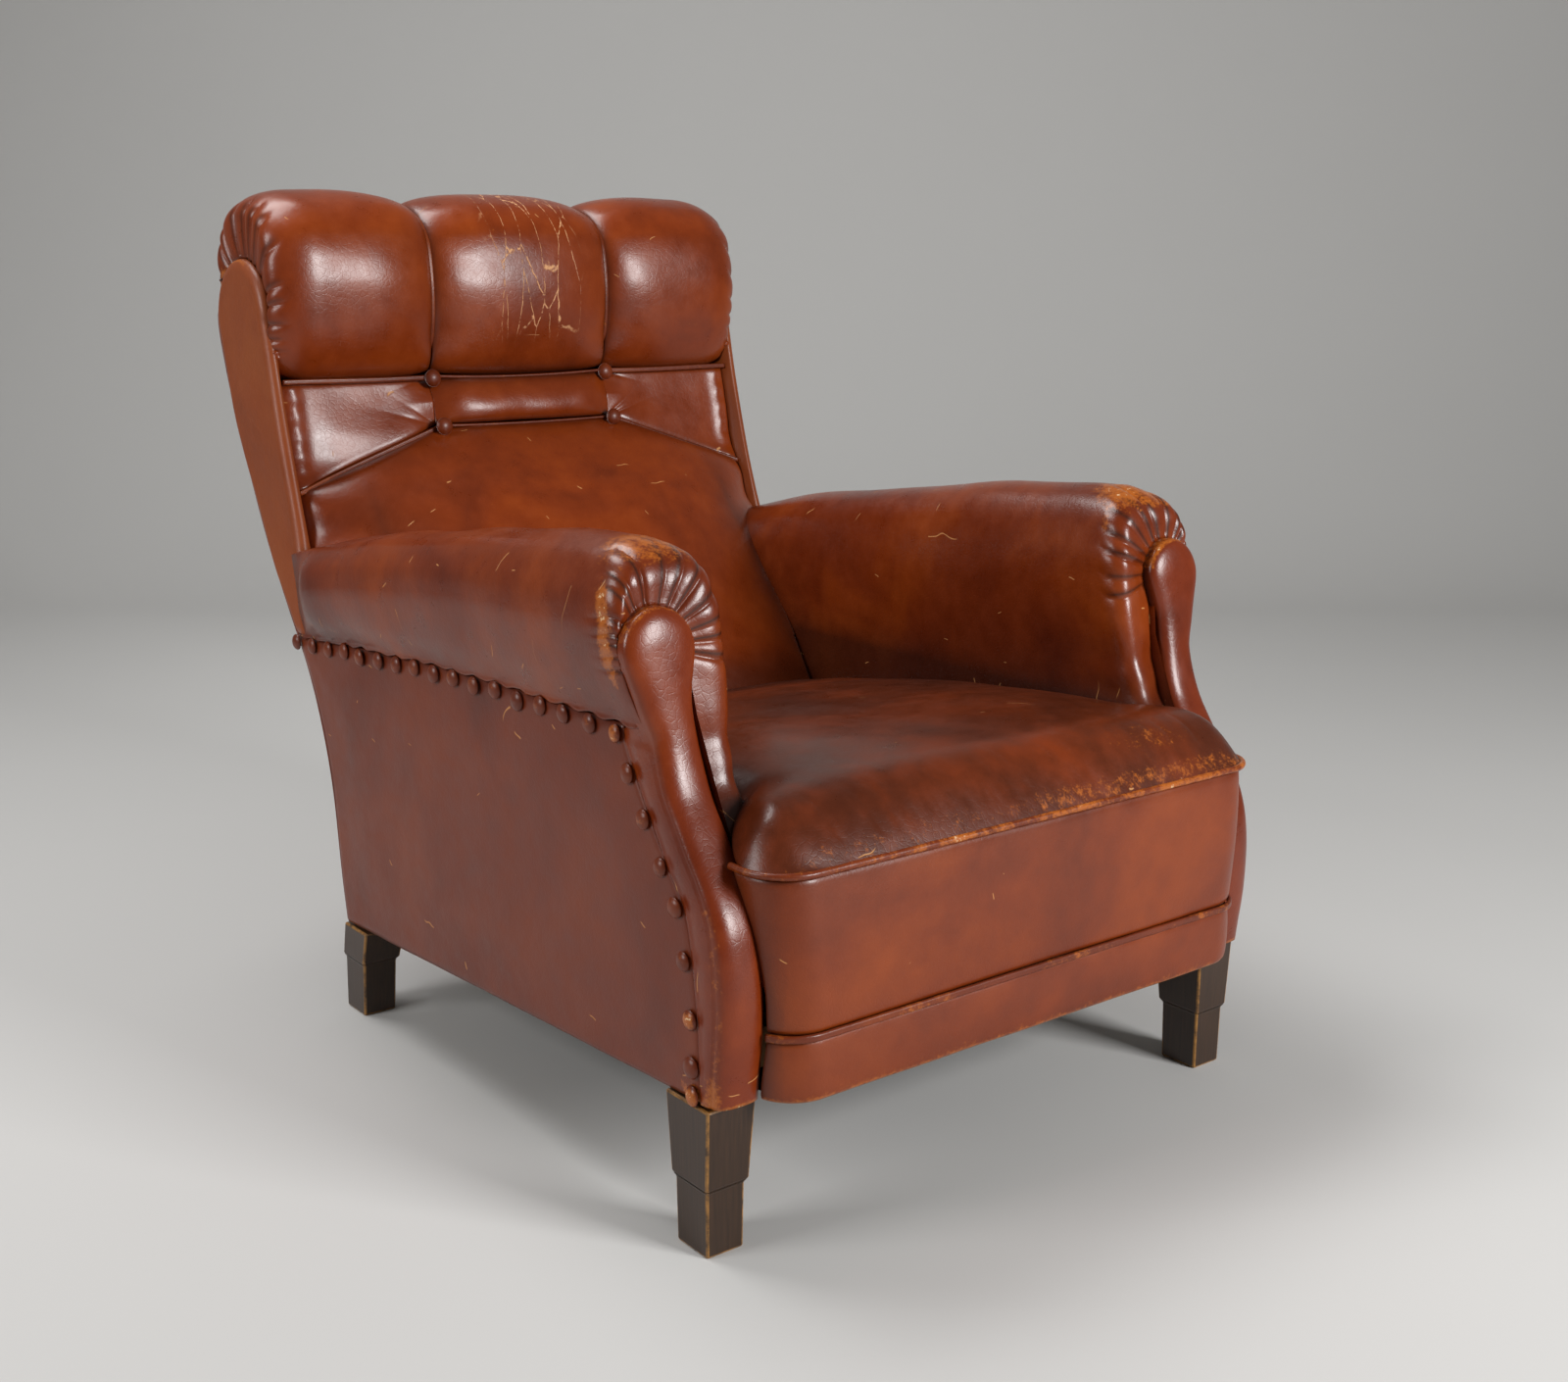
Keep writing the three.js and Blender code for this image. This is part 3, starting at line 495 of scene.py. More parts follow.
    # grain: fine pebbles and a shallow net of creases, both nearly polished away
    pebbles = addNode(tree, "ShaderNodeTexVoronoi", {"feature": "SMOOTH_F1"}, {
        "Vector": coords, "Scale": perMetre(v["grain"])})
    net = addNode(tree, "ShaderNodeTexVoronoi", {"feature": "DISTANCE_TO_EDGE"}, {
        "Vector": coords, "Scale": perMetre(v["wrinkle"])})
    netLine = addNode(tree, "ShaderNodeMapRange", {"interpolation_type": "SMOOTHSTEP"}, {
        0: net.outputs["Distance"], 1: 0.0, 2: 0.12, 3: 0, 4: 1})
    uneven = addNode(tree, "ShaderNodeTexNoise", inputs={
        "Vector": coords, "Scale": perMetre(18), "Detail": 2.0})
    bumpGrain = addNode(tree, "ShaderNodeBump", inputs={
        "Height": pebbles.outputs["Distance"], "Strength": 0.10, "Distance": 0.0004})
    bumpNet = addNode(tree, "ShaderNodeBump", inputs={
        "Height": netLine.outputs[0], "Strength": 0.10, "Distance": 0.0005, "Normal": bumpGrain.outputs[0]})
    bumpSoft = addNode(tree, "ShaderNodeBump", inputs={
        "Height": uneven.outputs["Fac"], "Strength": 0.25, "Distance": 0.0012, "Normal": bumpNet.outputs[0]})
    raw = addNode(tree, "ShaderNodeMath", {"operation": "MAXIMUM"}, {0: bared.outputs[0], 1: opened})
    bumpRaw = addNode(tree, "ShaderNodeBump", {"invert": True}, {
        "Height": raw.outputs[0], "Strength": 0.5, "Distance": 0.0005, "Normal": bumpSoft.outputs[0]})

    gloss = addNode(tree, "ShaderNodeMapRange", inputs={
        0: patch.outputs["Fac"], 1: 0.3, 2: 0.7, 3: roughness - 0.04, 4: roughness + 0.07})
    dulled = addNode(tree, "ShaderNodeMath", {"operation": "MULTIPLY_ADD", "use_clamp": True}, {
        0: raw.outputs[0], 1: 0.4, 2: gloss.outputs[0]})
    finishShader(tree, {
        "Base Color": surface, "Roughness": dulled.outputs[0], "IOR": 1.46,
        "Normal": bumpRaw.outputs[0], "Specular IOR Level": 0.42, "Coat Weight": 0.14, "Coat Roughness": 0.18,
        "Coat IOR": 1.45})
    return material


leathers = {
    "arm": makeLeather("waxed_leather_arm_covers", "#4E1705", "#6C2707", "#8B3A08", seed=1, scratches=0.16),
    "facing": makeLeather("waxed_leather_arm_facings", "#561C07", "#6E2708", "#88370A", seed=2,
                          scratches=0.06),
    "backFacing": makeLeather("waxed_leather_back_facings", "#783614", "#843D16", "#8B451A", 0.42, seed=3,
                              scratches=0.06),
    "panel": makeLeather("waxed_leather_side_panels", "#571D06", "#6A2607", "#7A3109", 0.4, seed=4,
                         scratches=0.1),
    "seat": makeLeather("waxed_leather_seat_cover", "#331306", "#4F1E07", "#762D08", 0.31, seed=5,
                        scratches=0.08),
    "front": makeLeather("waxed_leather_seat_front", "#5D2209", "#742D08", "#883A0A", 0.38, seed=6,
                         scratches=0.07),
    "back": makeLeather("waxed_leather_back_covers", "#5A1E05", "#7A2E06", "#923D08", seed=7, scratches=0.08),
    "middlePuff": makeLeather("waxed_cracked_leather_head_roll", "#5A1E05", "#7A2E06", "#923D08", seed=9,
                              scratches=0.06, cracked=True),
    "welt": makeLeather("waxed_leather_piping", "#4C1A07", "#682709", "#82380C", 0.36, seed=8, scratches=0.0),
}


def makeWood(name, dark, light, grainAxis, roughness, edge=None):
    # timber: long fibres along one axis, and a stain that has rubbed through on the arrises
    material, tree = newMaterial(name)
    spots = addNode(tree, "ShaderNodeTexCoord")
    stretch = [perMetre(3.0), perMetre(3.0), perMetre(3.0)]
    stretch[grainAxis] = perMetre(70)
    mapped = addNode(tree, "ShaderNodeMapping", inputs={"Vector": spots.outputs["Object"], "Scale": stretch})
    fibre = addNode(tree, "ShaderNodeTexNoise", inputs={
        "Vector": mapped.outputs[0], "Scale": 1.0, "Detail": 5.0, "Roughness": 0.6})
    tint = addNode(tree, "ShaderNodeMix", {"data_type": "RGBA"}, {
        0: fibre.outputs["Fac"], 6: hexColour(dark), 7: hexColour(light)})
    colour = tint.outputs[2]
    if edge:
        wear = addNode(tree, "ShaderNodeAttribute", {"attribute_name": "wear"})
        rag = addNode(tree, "ShaderNodeTexNoise", inputs={
            "Vector": spots.outputs["Object"], "Scale": perMetre(14), "Detail": 5.0, "Roughness": 0.7})
        over = addNode(tree, "ShaderNodeMath", {"operation": "SUBTRACT"}, {
            0: wear.outputs["Fac"], 1: rag.outputs["Fac"]})
        rubbed = addNode(tree, "ShaderNodeMapRange", {"interpolation_type": "SMOOTHSTEP"}, {
            0: over.outputs[0], 1: -0.1, 2: 0.25, 3: 0, 4: 1})
        mixed = addNode(tree, "ShaderNodeMix", {"data_type": "RGBA"}, {
            0: rubbed.outputs[0], 6: colour, 7: hexColour(edge)})
        colour = mixed.outputs[2]
    bump = addNode(tree, "ShaderNodeBump", inputs={
        "Height": fibre.outputs["Fac"], "Strength": 0.25, "Distance": 0.0004})
    finishShader(tree, {
        "Base Color": colour, "Roughness": roughness, "Normal": bump.outputs[0]})
    return material


def makeCloth(name, dark, light, thread, roughness=0.9):
    # plain weave: two sets of ribs at right angles
    material, tree = newMaterial(name)
    spots = addNode(tree, "ShaderNodeTexCoord")
    ribs = [addNode(tree, "ShaderNodeTexWave", {"bands_direction": direction}, {
        "Vector": spots.outputs["Object"], "Scale": perMetre(thread) / 20, "Distortion": 0.6, "Detail": 1.0})
        for direction in ("X", "Y")]
    weave = addNode(tree, "ShaderNodeMath", {"operation": "MULTIPLY"}, {
        0: ribs[0].outputs["Fac"], 1: ribs[1].outputs["Fac"]})
    tint = addNode(tree, "ShaderNodeMix", {"data_type": "RGBA"}, {
        0: weave.outputs[0], 6: hexColour(dark), 7: hexColour(light)})
    bump = addNode(tree, "ShaderNodeBump", inputs={
        "Height": weave.outputs[0], "Strength": 0.5, "Distance": 0.0006})
    finishShader(tree, {
        "Base Color": tint.outputs[2], "Roughness": roughness, "Normal": bump.outputs[0]})
    return material


def makeSteel(name):
    # drawn spring wire, bluish grey with a film of rust
    material, tree = newMaterial(name)
    spots = addNode(tree, "ShaderNodeTexCoord")
    rust = addNode(tree, "ShaderNodeTexNoise", inputs={
        "Vector": spots.outputs["Object"], "Scale": perMetre(9), "Detail": 4.0})
    tint = addNode(tree, "ShaderNodeMix", {"data_type": "RGBA"}, {
        0: rust.outputs["Fac"], 6: hexColour("#8D8F92"), 7: hexColour("#6B4A36")})
    finishShader(tree, {
        "Base Color": tint.outputs[2], "Roughness": 0.45, "Metallic": 1.0})
    return material


legWood = makeWood("dark_stained_beech", "#1B110A", "#452E1D", 2, 0.34, "#9A6C32")
hiddenWood = [makeWood(f"sawn_beech_{axis}", "#A87C50", "#CBA477", k, 0.75) for k, axis in enumerate("xyz")]
juteCloth = makeCloth("woven_jute", "#7A6238", "#B89A64", 3.0)
dustCloth = makeCloth("black_cambric", "#131212", "#2C2A2A", 1.6)
springSteel = makeSteel("drawn_spring_wire")
print("materials")

legValues = {"arris": 2.4, "weldWithin": 1e-5}


def makeTimberLegs():
    # each leg is a clean copy of its timber with the arrises eased
    for node in ("front_leg", "rear_leg_post"):
        for side in sideName.values():
            source = cadNodes[f"{node}_{side}"]
            mesh = source.data.copy()
            piece = addObject(f"timber_{node}_{side}", mesh)
            shape = bmesh.new()
            shape.from_mesh(mesh)
            marks = shape.faces.layers.float.new("wear")
            bmesh.ops.remove_doubles(shape, verts=shape.verts, dist=legValues["weldWithin"])
            bmesh.ops.dissolve_limit(shape, angle_limit=math.radians(2), verts=shape.verts, edges=shape.edges)
            sharp = [e for e in shape.edges if e.is_manifold and e.calc_face_angle() > math.radians(20)]
            bmesh.ops.bevel(shape, geom=sharp, offset=legValues["arris"] * metre, segments=2,
                            profile=0.5, affect="EDGES")
            for face in shape.faces:
                narrow = min(edge.calc_length() for edge in face.edges)
                if narrow < legValues["arris"] * metre * 0.9:
                    face[marks] = 0.62
            shape.to_mesh(mesh)
            shape.free()
            register(piece, "stained_wood", legWood, f"{node}_{side}")


def finishHiddenParts():
    across = ("back_top_rail", "back_middle_rail", "front_rail", "rear_rail")
    for name, node in cadNodes.items():
        if name.startswith(("webbing", "spring_canvas")):
            finish = juteCloth
        elif name.startswith("seat_spring"):
            finish = springSteel
        elif name.startswith(across):
            finish = hiddenWood[0]
        elif name.startswith(("arm_rail", "side_rail")):
            finish = hiddenWood[1]
        elif name.startswith(("arm_stump", "front_corner", "rear_corner")):
            finish = hiddenWood[2]
        else:
            continue
        node.data.materials.clear()
        node.data.materials.append(finish)


makeTimberLegs()
finishHiddenParts()
print("legs and frame")

armValues = {
    "outlinePoints": 380,
    "frontRound": 21,      # depth of the turn from the roll into the pleated end
    "pleatDepth": 3.1,
    "pleats": 15,
    "pleatArc": (-24, 194),    # degrees round the knob
    "frontGap": 2,         # the cover starts this far behind the pad's front
    "gatherSpan": 30,      # how far the gathers run back along the roll
    "unevenness": 1.1,
    "edgeLip": 2.2,        # the folded edge stands this far out along the nails
    "foldAboveNails": 8,
    "nailPitch": 43.1,
    "firstNail": 127,
    "endTuck": 740,        # from here the roll tapers in under the back facing
}


def facingEdgeFor(x, z):
    # the nearest point of the facing's outline, towards which the leather is gathered
    reach = knob["radius"] - 1.8
    angle = np.arctan2(z - knob["height"], x - knob["across"])
    roundX = knob["across"] + reach * np.cos(angle)
    roundZ = knob["height"] + reach * np.sin(angle)
    outer = x > knob["across"]
    straightX = np.where(outer, facingOuterEdge(z) - 1.0, facingInnerEdge(z) + 1.0)
    above = z >= knob["height"]
    return np.where(above, roundX, straightX), np.where(above, roundZ, z)


def knobAngle(x, z):
    # degrees round the knob, from its outer side over the top
    angle = np.degrees(np.arctan2(z - knob["height"], x - knob["across"]))
    return np.where(angle < -90, angle + 360, angle)


def armOutline(part):
    v = armValues
    low = nailLine(blendTo(75, 817, part)) + v["foldAboveNails"]
    top = rollTop(blendTo(105, 828, part))
    rise = top - low
    bottom = underside(blendTo(0, 700, part)) + 158
    controls = [
        (350, low), (357, low + 0.1 * rise), (366, low + 0.24 * rise), (372, low + 0.43 * rise),
        (373.2, low + 0.58 * rise), (369, low + 0.77 * rise), (352, low + 0.925 * rise), (318, top),
        (286, low + 0.955 * rise), (266, low + 0.82 * rise), (256, low + 0.63 * rise),
        (252.5, low + 0.42 * rise),
        (253, low + 0.2 * rise), (256, low - 4), (259.5, low - 45), (261.5, low - 95), (262, bottom),
    ]
    return spaced(controls, v["outlinePoints"]), low, bottom


pleatPlaces = {}


def makeArm(side):
    v = armValues
    dice = np.random.default_rng(11 if side < 0 else 23)
    turns = list(np.linspace(1, 0, 16) ** 1.3)
    tail = list(0.006 + 0.994 * np.linspace(0, 1, 58) ** 1.6)
    rings = []
    for kind, amount in [("crease", 1.0)] + [("turn", t) for t in turns] + [("body", t) for t in tail]:
        part = amount if kind == "body" else 0.0
        outline, low, bottom = armOutline(part)
        x, z = outline[:, 0], outline[:, 1]
        pad = armPadFront(z) + v["frontGap"]
        start = pad + v["frontRound"]
        if kind == "body":
            outside = np.clip((x - 338) / 7, 0, 1)
            behind = np.maximum(817, 802 + (z - 444) * 0.31)    # just under the back facing's front edge
            end = blendTo(armPadRear(z), behind, outside)
            y = blendTo(start, end, part)
            tuck = smoothStep(v["endTuck"], 817, y) * np.clip((x - 330) / 20, 0, 1)
            x = blendTo(x, np.minimum(x, 349), tuck)
        else:
            edgeX, edgeZ = facingEdgeFor(x, z)
            gapLeft = np.hypot(edgeX - x, edgeZ - z)
            turn = np.clip(1 - amount * np.maximum(gapLeft, 14) / 17, 0, 1)
            y = pad + v["frontRound"] * (1 - np.sqrt(np.maximum(1 - turn ** 2, 0)))
            y = y + 4 * smoothStep(0.4, 1.0, amount)
            x, z = blendTo(x, edgeX, amount), blendTo(z, edgeZ, amount)
            y = y + armPadFront(z) + v["frontGap"] - pad    # follows the pad at the gathered height
            if kind == "crease":
                y = y + 14
        rings.append(np.column_stack([x, y, z]))
    grid = np.array(rings)
    # gathers: creases fan out from the knob and die away on the roll
    angle = knobAngle(grid[..., 0], grid[..., 2])
    waves = np.sort(np.linspace(*v["pleatArc"], v["pleats"]) + dice.uniform(-4, 4, v["pleats"]))
    pleatPlaces[side] = waves
    offset = grid[..., 1] - (armPadFront(grid[..., 2]) + v["frontGap"] + v["frontRound"])
    span = np.where(grid[..., 0] < 300, v["gatherSpan"] * 0.45, v["gatherSpan"])
    strength = 1 - smoothStep(-6, span, offset)
    nearRoll = smoothStep(452, 500, grid[..., 2])
    slant = angle + 4 * np.sin(offset / 14)
    sharp = creases(slant, waves, 2.6)
    soft = creases(slant, waves, 8.0)
    depth = v["pleatDepth"] * strength * nearRoll
    depth[:2] *= 0.4
    depth *= 0.66 + 0.34 * np.sin(angle / 8.5 + 2 * side)
    amount = -depth * (0.8 * sharp + 0.3 * soft) + 0.3 * depth
    # soft dents down the inner ridge, and the give of old stuffing everywhere
    ridge = (1 - smoothStep(10, 70, offset)) * (grid[..., 0] < 300) * (1 - nearRoll * 0.5)
    amount += 0.9 * ridge * np.sin(grid[..., 2] / 9.5 + 1.4 * np.sin(grid[..., 2] / 23))
    amount += v["unevenness"] * ripple(grid, 120, 5 + side) * smoothStep(0, 60, offset + 30)
    # the folded edge along the nails, drawn in at each nail
    lowEdge = np.arange(v["outlinePoints"])[None, :] * 1.9
    lip = np.exp(-(lowEdge / 5) ** 2) * (offset > -5)
    scallop = np.cos((grid[..., 1] - v["firstNail"]) / v["nailPitch"] * 2 * math.pi)
    grid = pushed(grid, amount, (310, 400, 500))
    grid[..., 0] += lip * (v["edgeLip"] - 0.8 * scallop)
    grid[..., 2] += np.exp(-(lowEdge / 9) ** 2) * 1.6 * scallop * (offset > -5)
    # hidden inner faces close each ring round the frame
    closed = []
    for ring in grid:
        low = ring[0, 2]
        bottom = ring[-1, 2]
        inner = [(297, bottom), (298, low - 60), (300, low + 8), (303, low + 45), (343, low + 45), (343, low)]
        depths = [ring[-1, 1], ring[-60, 1], ring[-100, 1], ring[-130, 1], ring[40, 1], ring[0, 1]]
        extra = np.array([(x, y, z) for (x, z), y in zip(inner, depths)])
        closed.append(np.vstack([ring, extra]))
    closed = np.array(closed)
    closed[..., 0] *= side
    return closedSkin(f"arm_cover_{sideName[side]}", closed)


def paintArm(piece, side):
    p = scenePoints(piece)
    x, y, z = np.abs(p[:, 0]), p[:, 1], p[:, 2]
    start = armPadFront(z) + armValues["frontGap"]
    front = 1 - smoothStep(start + 18, start + 75, y)
    crown = smoothStep(585, 628, z)
    turn = np.exp(-((y - start - 20) / 12) ** 2)
    bald = 0.56 * front * crown
    if side < 0:
        outerTurn = np.exp(-((x - 372) / 8) ** 2) * turn * smoothStep(470, 500, z) * 0.75
        wear = np.maximum(bald, outerTurn)
    else:
        wear = np.maximum(bald * 1.15, 0.45 * turn * smoothStep(560, 600, z))
    wear = np.maximum(wear, 0.42 * np.exp(-((z - 463) / 3) ** 2) * (x > 345) * 0.8)
    paint(piece, "wear", wear)
    # painted shade: dark in the pleat folds, where the arm meets the seat and towards the back
    fold = creases(knobAngle(x, z), pleatPlaces[side], 1.9)
    fold = fold * (1 - smoothStep(start + 8, start + 24, y)) * (z > 480)
    seatJoint = np.exp(-np.clip(z - 400, 0, 999) / 22) * (x < 300) * 0.75
    backJoint = smoothStep(0, 1, (y - armPadRear(z) + 60) / 60) * (x < 320) * 0.6
    paint(piece, "paintedShade", np.maximum.reduce([seatJoint, backJoint, 0.95 * fold]))


facingValues = {
    "crown": 14,
    "roundness": 2.5,
    "rows": 110,
    "domeRows": 26,
    "across": 44,
    "sideSteps": 14,
}


def makeFacing(side):
    # a narrow stuffed strip with a D section that ends in a round knob
    v = facingValues
    straight = [(z, facingInnerEdge(z), facingOuterEdge(z), 0.0) for z in np.linspace(149, 538, v["rows"])]
    dome = []
    for lift in np.linspace(0, math.pi / 2, v["domeRows"])[1:]:
        half = knob["radius"] * math.cos(lift) + 0.02
        dome.append((knob["height"] + knob["radius"] * math.sin(lift),
                     knob["across"] - half, knob["across"] + half, math.sin(lift)))
    rings = []
    for z, inner, outer, rise in straight + dome:
        middle = (inner + outer) / 2
        half = (outer - inner) / 2
        a = -np.cos(np.linspace(0, math.pi, v["across"]))
        scale = half / knob["radius"] if rise else 1.0
        reach = np.sqrt((a * scale) ** 2 + rise ** 2) if rise else np.abs(a)
        drop = v["crown"] * (1 - (1 - np.clip(reach, 0, 1) ** v["roundness"]) ** (1 / v["roundness"]))
        face = armFrontFace(z) + drop
        x = middle + a * half
        puff = 1.2 * math.sin(z / 31) * (1 - np.abs(a) ** 2)
        front = np.column_stack([x, face - puff * 0.5, np.full_like(x, z)])
        edgeRear = blendTo(nailedFrontEdge(min(z, 458)) - 9, armPadFront(z) + 12, smoothStep(461, 480, z))
        sideDepths = np.linspace(face[-1], edgeRear, v["sideSteps"])[1:]
        bow = 2.4 * np.sin(np.linspace(0, math.pi, v["sideSteps"]))[1:] * (1 - smoothStep(455, 480, z))
        fold = 1.6 * np.exp(-((sideDepths - edgeRear) / 3.5) ** 2) * (1 - smoothStep(448, 462, z))
        outerWall = np.column_stack([outer + bow * 0.6 + fold + 0.8 * (z < 455),
                                     sideDepths, np.full_like(sideDepths, z)])
        tuck = [(outer - 3, edgeRear - 0.5, z), (inner + min(8, half), armFrontFace(z) + 42, z),
                (inner, armFrontFace(z) + 40, z)]
        innerWall = [(inner, depth, z) for depth in np.linspace(armFrontFace(z) + 34, face[0], 6)[:-1]]
        rings.append(np.vstack([front, outerWall, tuck, innerWall]))
    grid = np.array(rings)
    grid[..., 0] += 0.5 * ripple(grid, 60, 31)
    grid[..., 0] *= side
    piece = closedSkin(f"arm_front_facing_{sideName[side]}", grid)
    p = scenePoints(piece)
    x, y, z = np.abs(p[:, 0]), p[:, 1], p[:, 2]
    low = 1 - smoothStep(149, 215, z)
    outerEdge = np.exp(-((x - 350) / 9) ** 2) * np.exp(-((y - armFrontFace(z) - 10) / 16) ** 2)
    hem = np.exp(-((z - 149) / 4) ** 2)
    rim = np.exp(-((np.hypot(x - knob["across"], z - knob["height"]) - 36) / 3.0) ** 2) * (z > 545)
    wear = np.maximum(0.75 * low * outerEdge, 0.72 * hem)
    wear = np.maximum(wear, rim * (0.6 if side > 0 else 0.46))
    wear = np.maximum(wear, 0.36 * outerEdge * (z < 330))
    paint(piece, "wear", wear)
    # painted shade on the facing's inner side, behind its front, where it turns back under the arm
    crease = smoothStep(8, 20, y - armFrontFace(z)) * (x < 306) * 0.8
    paint(piece, "paintedShade", crease)
    return piece


panelValues = {
    "face": 350.4,
    "thickness": 4,
    "rows": 70,
    "columns": 150,
    "underEdge": 9,        # how far its front edge reaches in front of the nails' line
    "overNails": 7.4,      # how far its top edge stands above the nails' line
    "flat": (0.87, 0.37),
}


def makeSidePanel(side):
    v = panelValues
    rows = []
    for t in np.linspace(0, 1, v["rows"]):
        row = []
        for s in np.linspace(0, 1, v["columns"]):
            frontHeight = blendTo(150, nailLine(armValues["firstNail"]) + v["overNails"], t)
            frontDepth = nailedFrontEdge(frontHeight) - v["underEdge"]
            rearHeight = blendTo(112, 433, t)
            rearDepth = rearFace(rearHeight) - 1.0
            depth = blendTo(frontDepth, rearDepth, s)
            bottom = underside(depth) + 1
            top = nailLine(depth) + v["overNails"]
            row.append((v["face"], depth, blendTo(bottom, top, t)))
        rows.append(row)
    outer = np.array(rows)
    y, z = outer[..., 1], outer[..., 2]
    toFront = y - nailedFrontEdge(np.clip(z, 148, 458)) + v["underEdge"]
    toEdge = np.minimum.reduce([toFront, nailLine(y) + 8 - z, rearFace(np.clip(z, 109, 840)) - y,
                                z - underside(y)])
    outer[..., 0] += 2.2 * smoothStep(0, 90, toEdge) - 1.6 * (1 - smoothStep(0, 6, toEdge))
    outer[..., 0] += 0.7 * ripple(outer, 150, 41)
    inner = outer.copy()
    inner[..., 0] = v["face"] - v["thickness"]
    rings = np.concatenate([outer, inner[:, ::-1]], axis=1)
    rings[..., 0] *= side
    piece = closedSkin(f"side_panel_leather_{sideName[side]}", rings)
    p = scenePoints(piece)
    hem = np.exp(-((p[:, 2] - underside(p[:, 1])) / 3) ** 2)
    corner = np.exp(-((p[:, 1] - 16) / 22) ** 2) * np.exp(-((p[:, 2] - 152) / 16) ** 2)
    paint(piece, "wear", np.maximum(0.4 * hem, 0.72 * corner))
    # painted shade in a band just under the arm's folded edge above the nails
    paint(piece, "paintedShade", 0.5 * np.exp(-np.abs(nailLine(p[:, 1]) + 8 - p[:, 2]) / 6))
    register(piece, "panel_leather", leathers["panel"], f"side_panel_{sideName[side]}")


for side in (-1, 1):
    arm = makeArm(side)
    paintArm(arm, side)
    register(arm, "arm_leather", leathers["arm"], f"arm_pad_{sideName[side]}")
    facing = makeFacing(side)
    register(facing, "facing_leather", leathers["facing"], f"arm_facing_{sideName[side]}")
    makeSidePanel(side)
print("arms")

seatValues = {
    "front": -57,
    "frontHalf": 316,
    "corner": 46,
    "rear": 598,
    "frontRoll": 84,       # the front edge rounds over this far back
    "sideRoll": 34,
    "cornerRoll": 46.0,
    "rows": 150,
    "turnRows": 40,
    "columns": 230,
    "base": 332,
    "wrinkles": 26,
    "sag": 5,
}
seatSideHeight = curveThrough([(-57, 406), (40, 406), (150, 403), (304, 387), (478, 363), (612, 341)])
seatCrown = curveThrough([(-57, 14), (0, 14), (120, 18), (350, 17), (500, 10), (612, 3)])
seatHalfBehind = curveThrough([(-11, 316), (0, 313), (20, 303), (38, 287), (56, 268), (76, 260), (612, 259)])
seatEdge = curveThrough([
    (-57, 361), (-11, 361), (5, 365), (22, 376), (40, 387), (60, 394), (90, 395), (150, 393), (304, 377),
    (478, 353), (612, 332),
])


def seatHalf(depth):
    v = seatValues
    back = np.clip((v["front"] + v["corner"] - depth) / v["corner"], 0, 1)
    rounded = v["frontHalf"] - v["corner"] + v["corner"] * np.sqrt(1 - back ** 2)
    return np.where(depth < v["front"] + v["corner"], rounded, seatHalfBehind(depth))


def makeSeat():
    v = seatValues
    dice = np.random.default_rng(8)
    turn = v["front"] + v["corner"] * (1 - np.cos(np.linspace(0, math.pi / 2, v["turnRows"])))
    depths = np.concatenate([turn, np.linspace(turn[-1], v["rear"], v["rows"] - v["turnRows"] + 1)[1:]])
    u = np.sin(np.linspace(-1, 1, v["columns"]) * math.pi / 2)
    u = 0.6 * u + 0.4 * np.linspace(-1, 1, v["columns"])
    y = np.repeat(depths[:, None], v["columns"], axis=1)
    half = seatHalf(y)
    x = u[None, :] * half
    fromFront = y - v["front"]
    fromSide = half - np.abs(x)
    frontRise = 1 - (1 - np.clip(fromFront / v["frontRoll"], 0, 1)) ** 2.6
    sideRoll = blendTo(v["cornerRoll"], v["sideRoll"], smoothStep(-20, 60, y))
    sideRise = 1 - (1 - np.clip(fromSide / sideRoll, 0, 1)) ** 2.4
    plateau = seatSideHeight(y) + seatCrown(y) * (1 - np.abs(u[None, :]) ** 4)
    plateau = plateau - v["sag"] * np.exp(-((x / 150) ** 2 + ((y - 250) / 150) ** 2))
    z = seatEdge(y) + (plateau - seatEdge(y)) * frontRise * sideRise
    top = np.stack([x, y, z], axis=-1)
    places = np.sort(dice.uniform(-235, 262, v["wrinkles"]))
    band = smoothStep(6, 20, fromFront) * (1 - smoothStep(34, 74, fromFront))
    strong = 0.4 + 0.6 * (0.5 + 0.5 * np.sin(x / 37 + 1.0))
    skewed = x + 0.35 * fromFront + 2.5 * np.sin(fromFront / 9)
    dents = -1.15 * band * strong * creases(skewed, places, 3.2)
    dents += 0.8 * ripple(top, 110, 51) * smoothStep(0, 40, fromFront)
    top = pushed(top, dents, (0, 200, 0))
    wallDepth = np.maximum(depths, v["front"] + 14)
    rings = []
    for row, depth in enumerate(wallDepth):
        edge = float(seatEdge(depths[row]))
        reach = float(seatHalf(depths[row]))
        walls = [(reach - 6, depth, edge - 7), (reach - 15, depth, v["base"]),
                 (15 - reach, depth, v["base"]), (6 - reach, depth, edge - 7)]
        rings.append(np.vstack([top[row], walls]))
    piece = closedSkin("seat_cover", np.array(rings))
    p = scenePoints(piece)
    front = p[:, 1] - v["front"]
    nearEdge = np.exp(-((front - 6) / 10) ** 2) * (p[:, 2] > 350)
    rightFront = np.exp(-((p[:, 0] - 185) / 75) ** 2) * np.exp(-((front - 34) / 26) ** 2)
    paint(piece, "wear", np.maximum(0.3 * nearEdge + 0.12 * nearEdge * (p[:, 0] > 0), 0.33 * rightFront))
    # painted shade along the sides where the seat meets the arms, and towards the back
    toArm = np.exp(-(seatHalf(p[:, 1]) - np.abs(p[:, 0])) / 14) * smoothStep(-20, 40, p[:, 1])
    toBack = smoothStep(500, 598, p[:, 1])
    paint(piece, "paintedShade", 0.75 * np.maximum(toArm, toBack * 0.7))
    register(piece, "seat_leather", leathers["seat"], "seat_cushion")


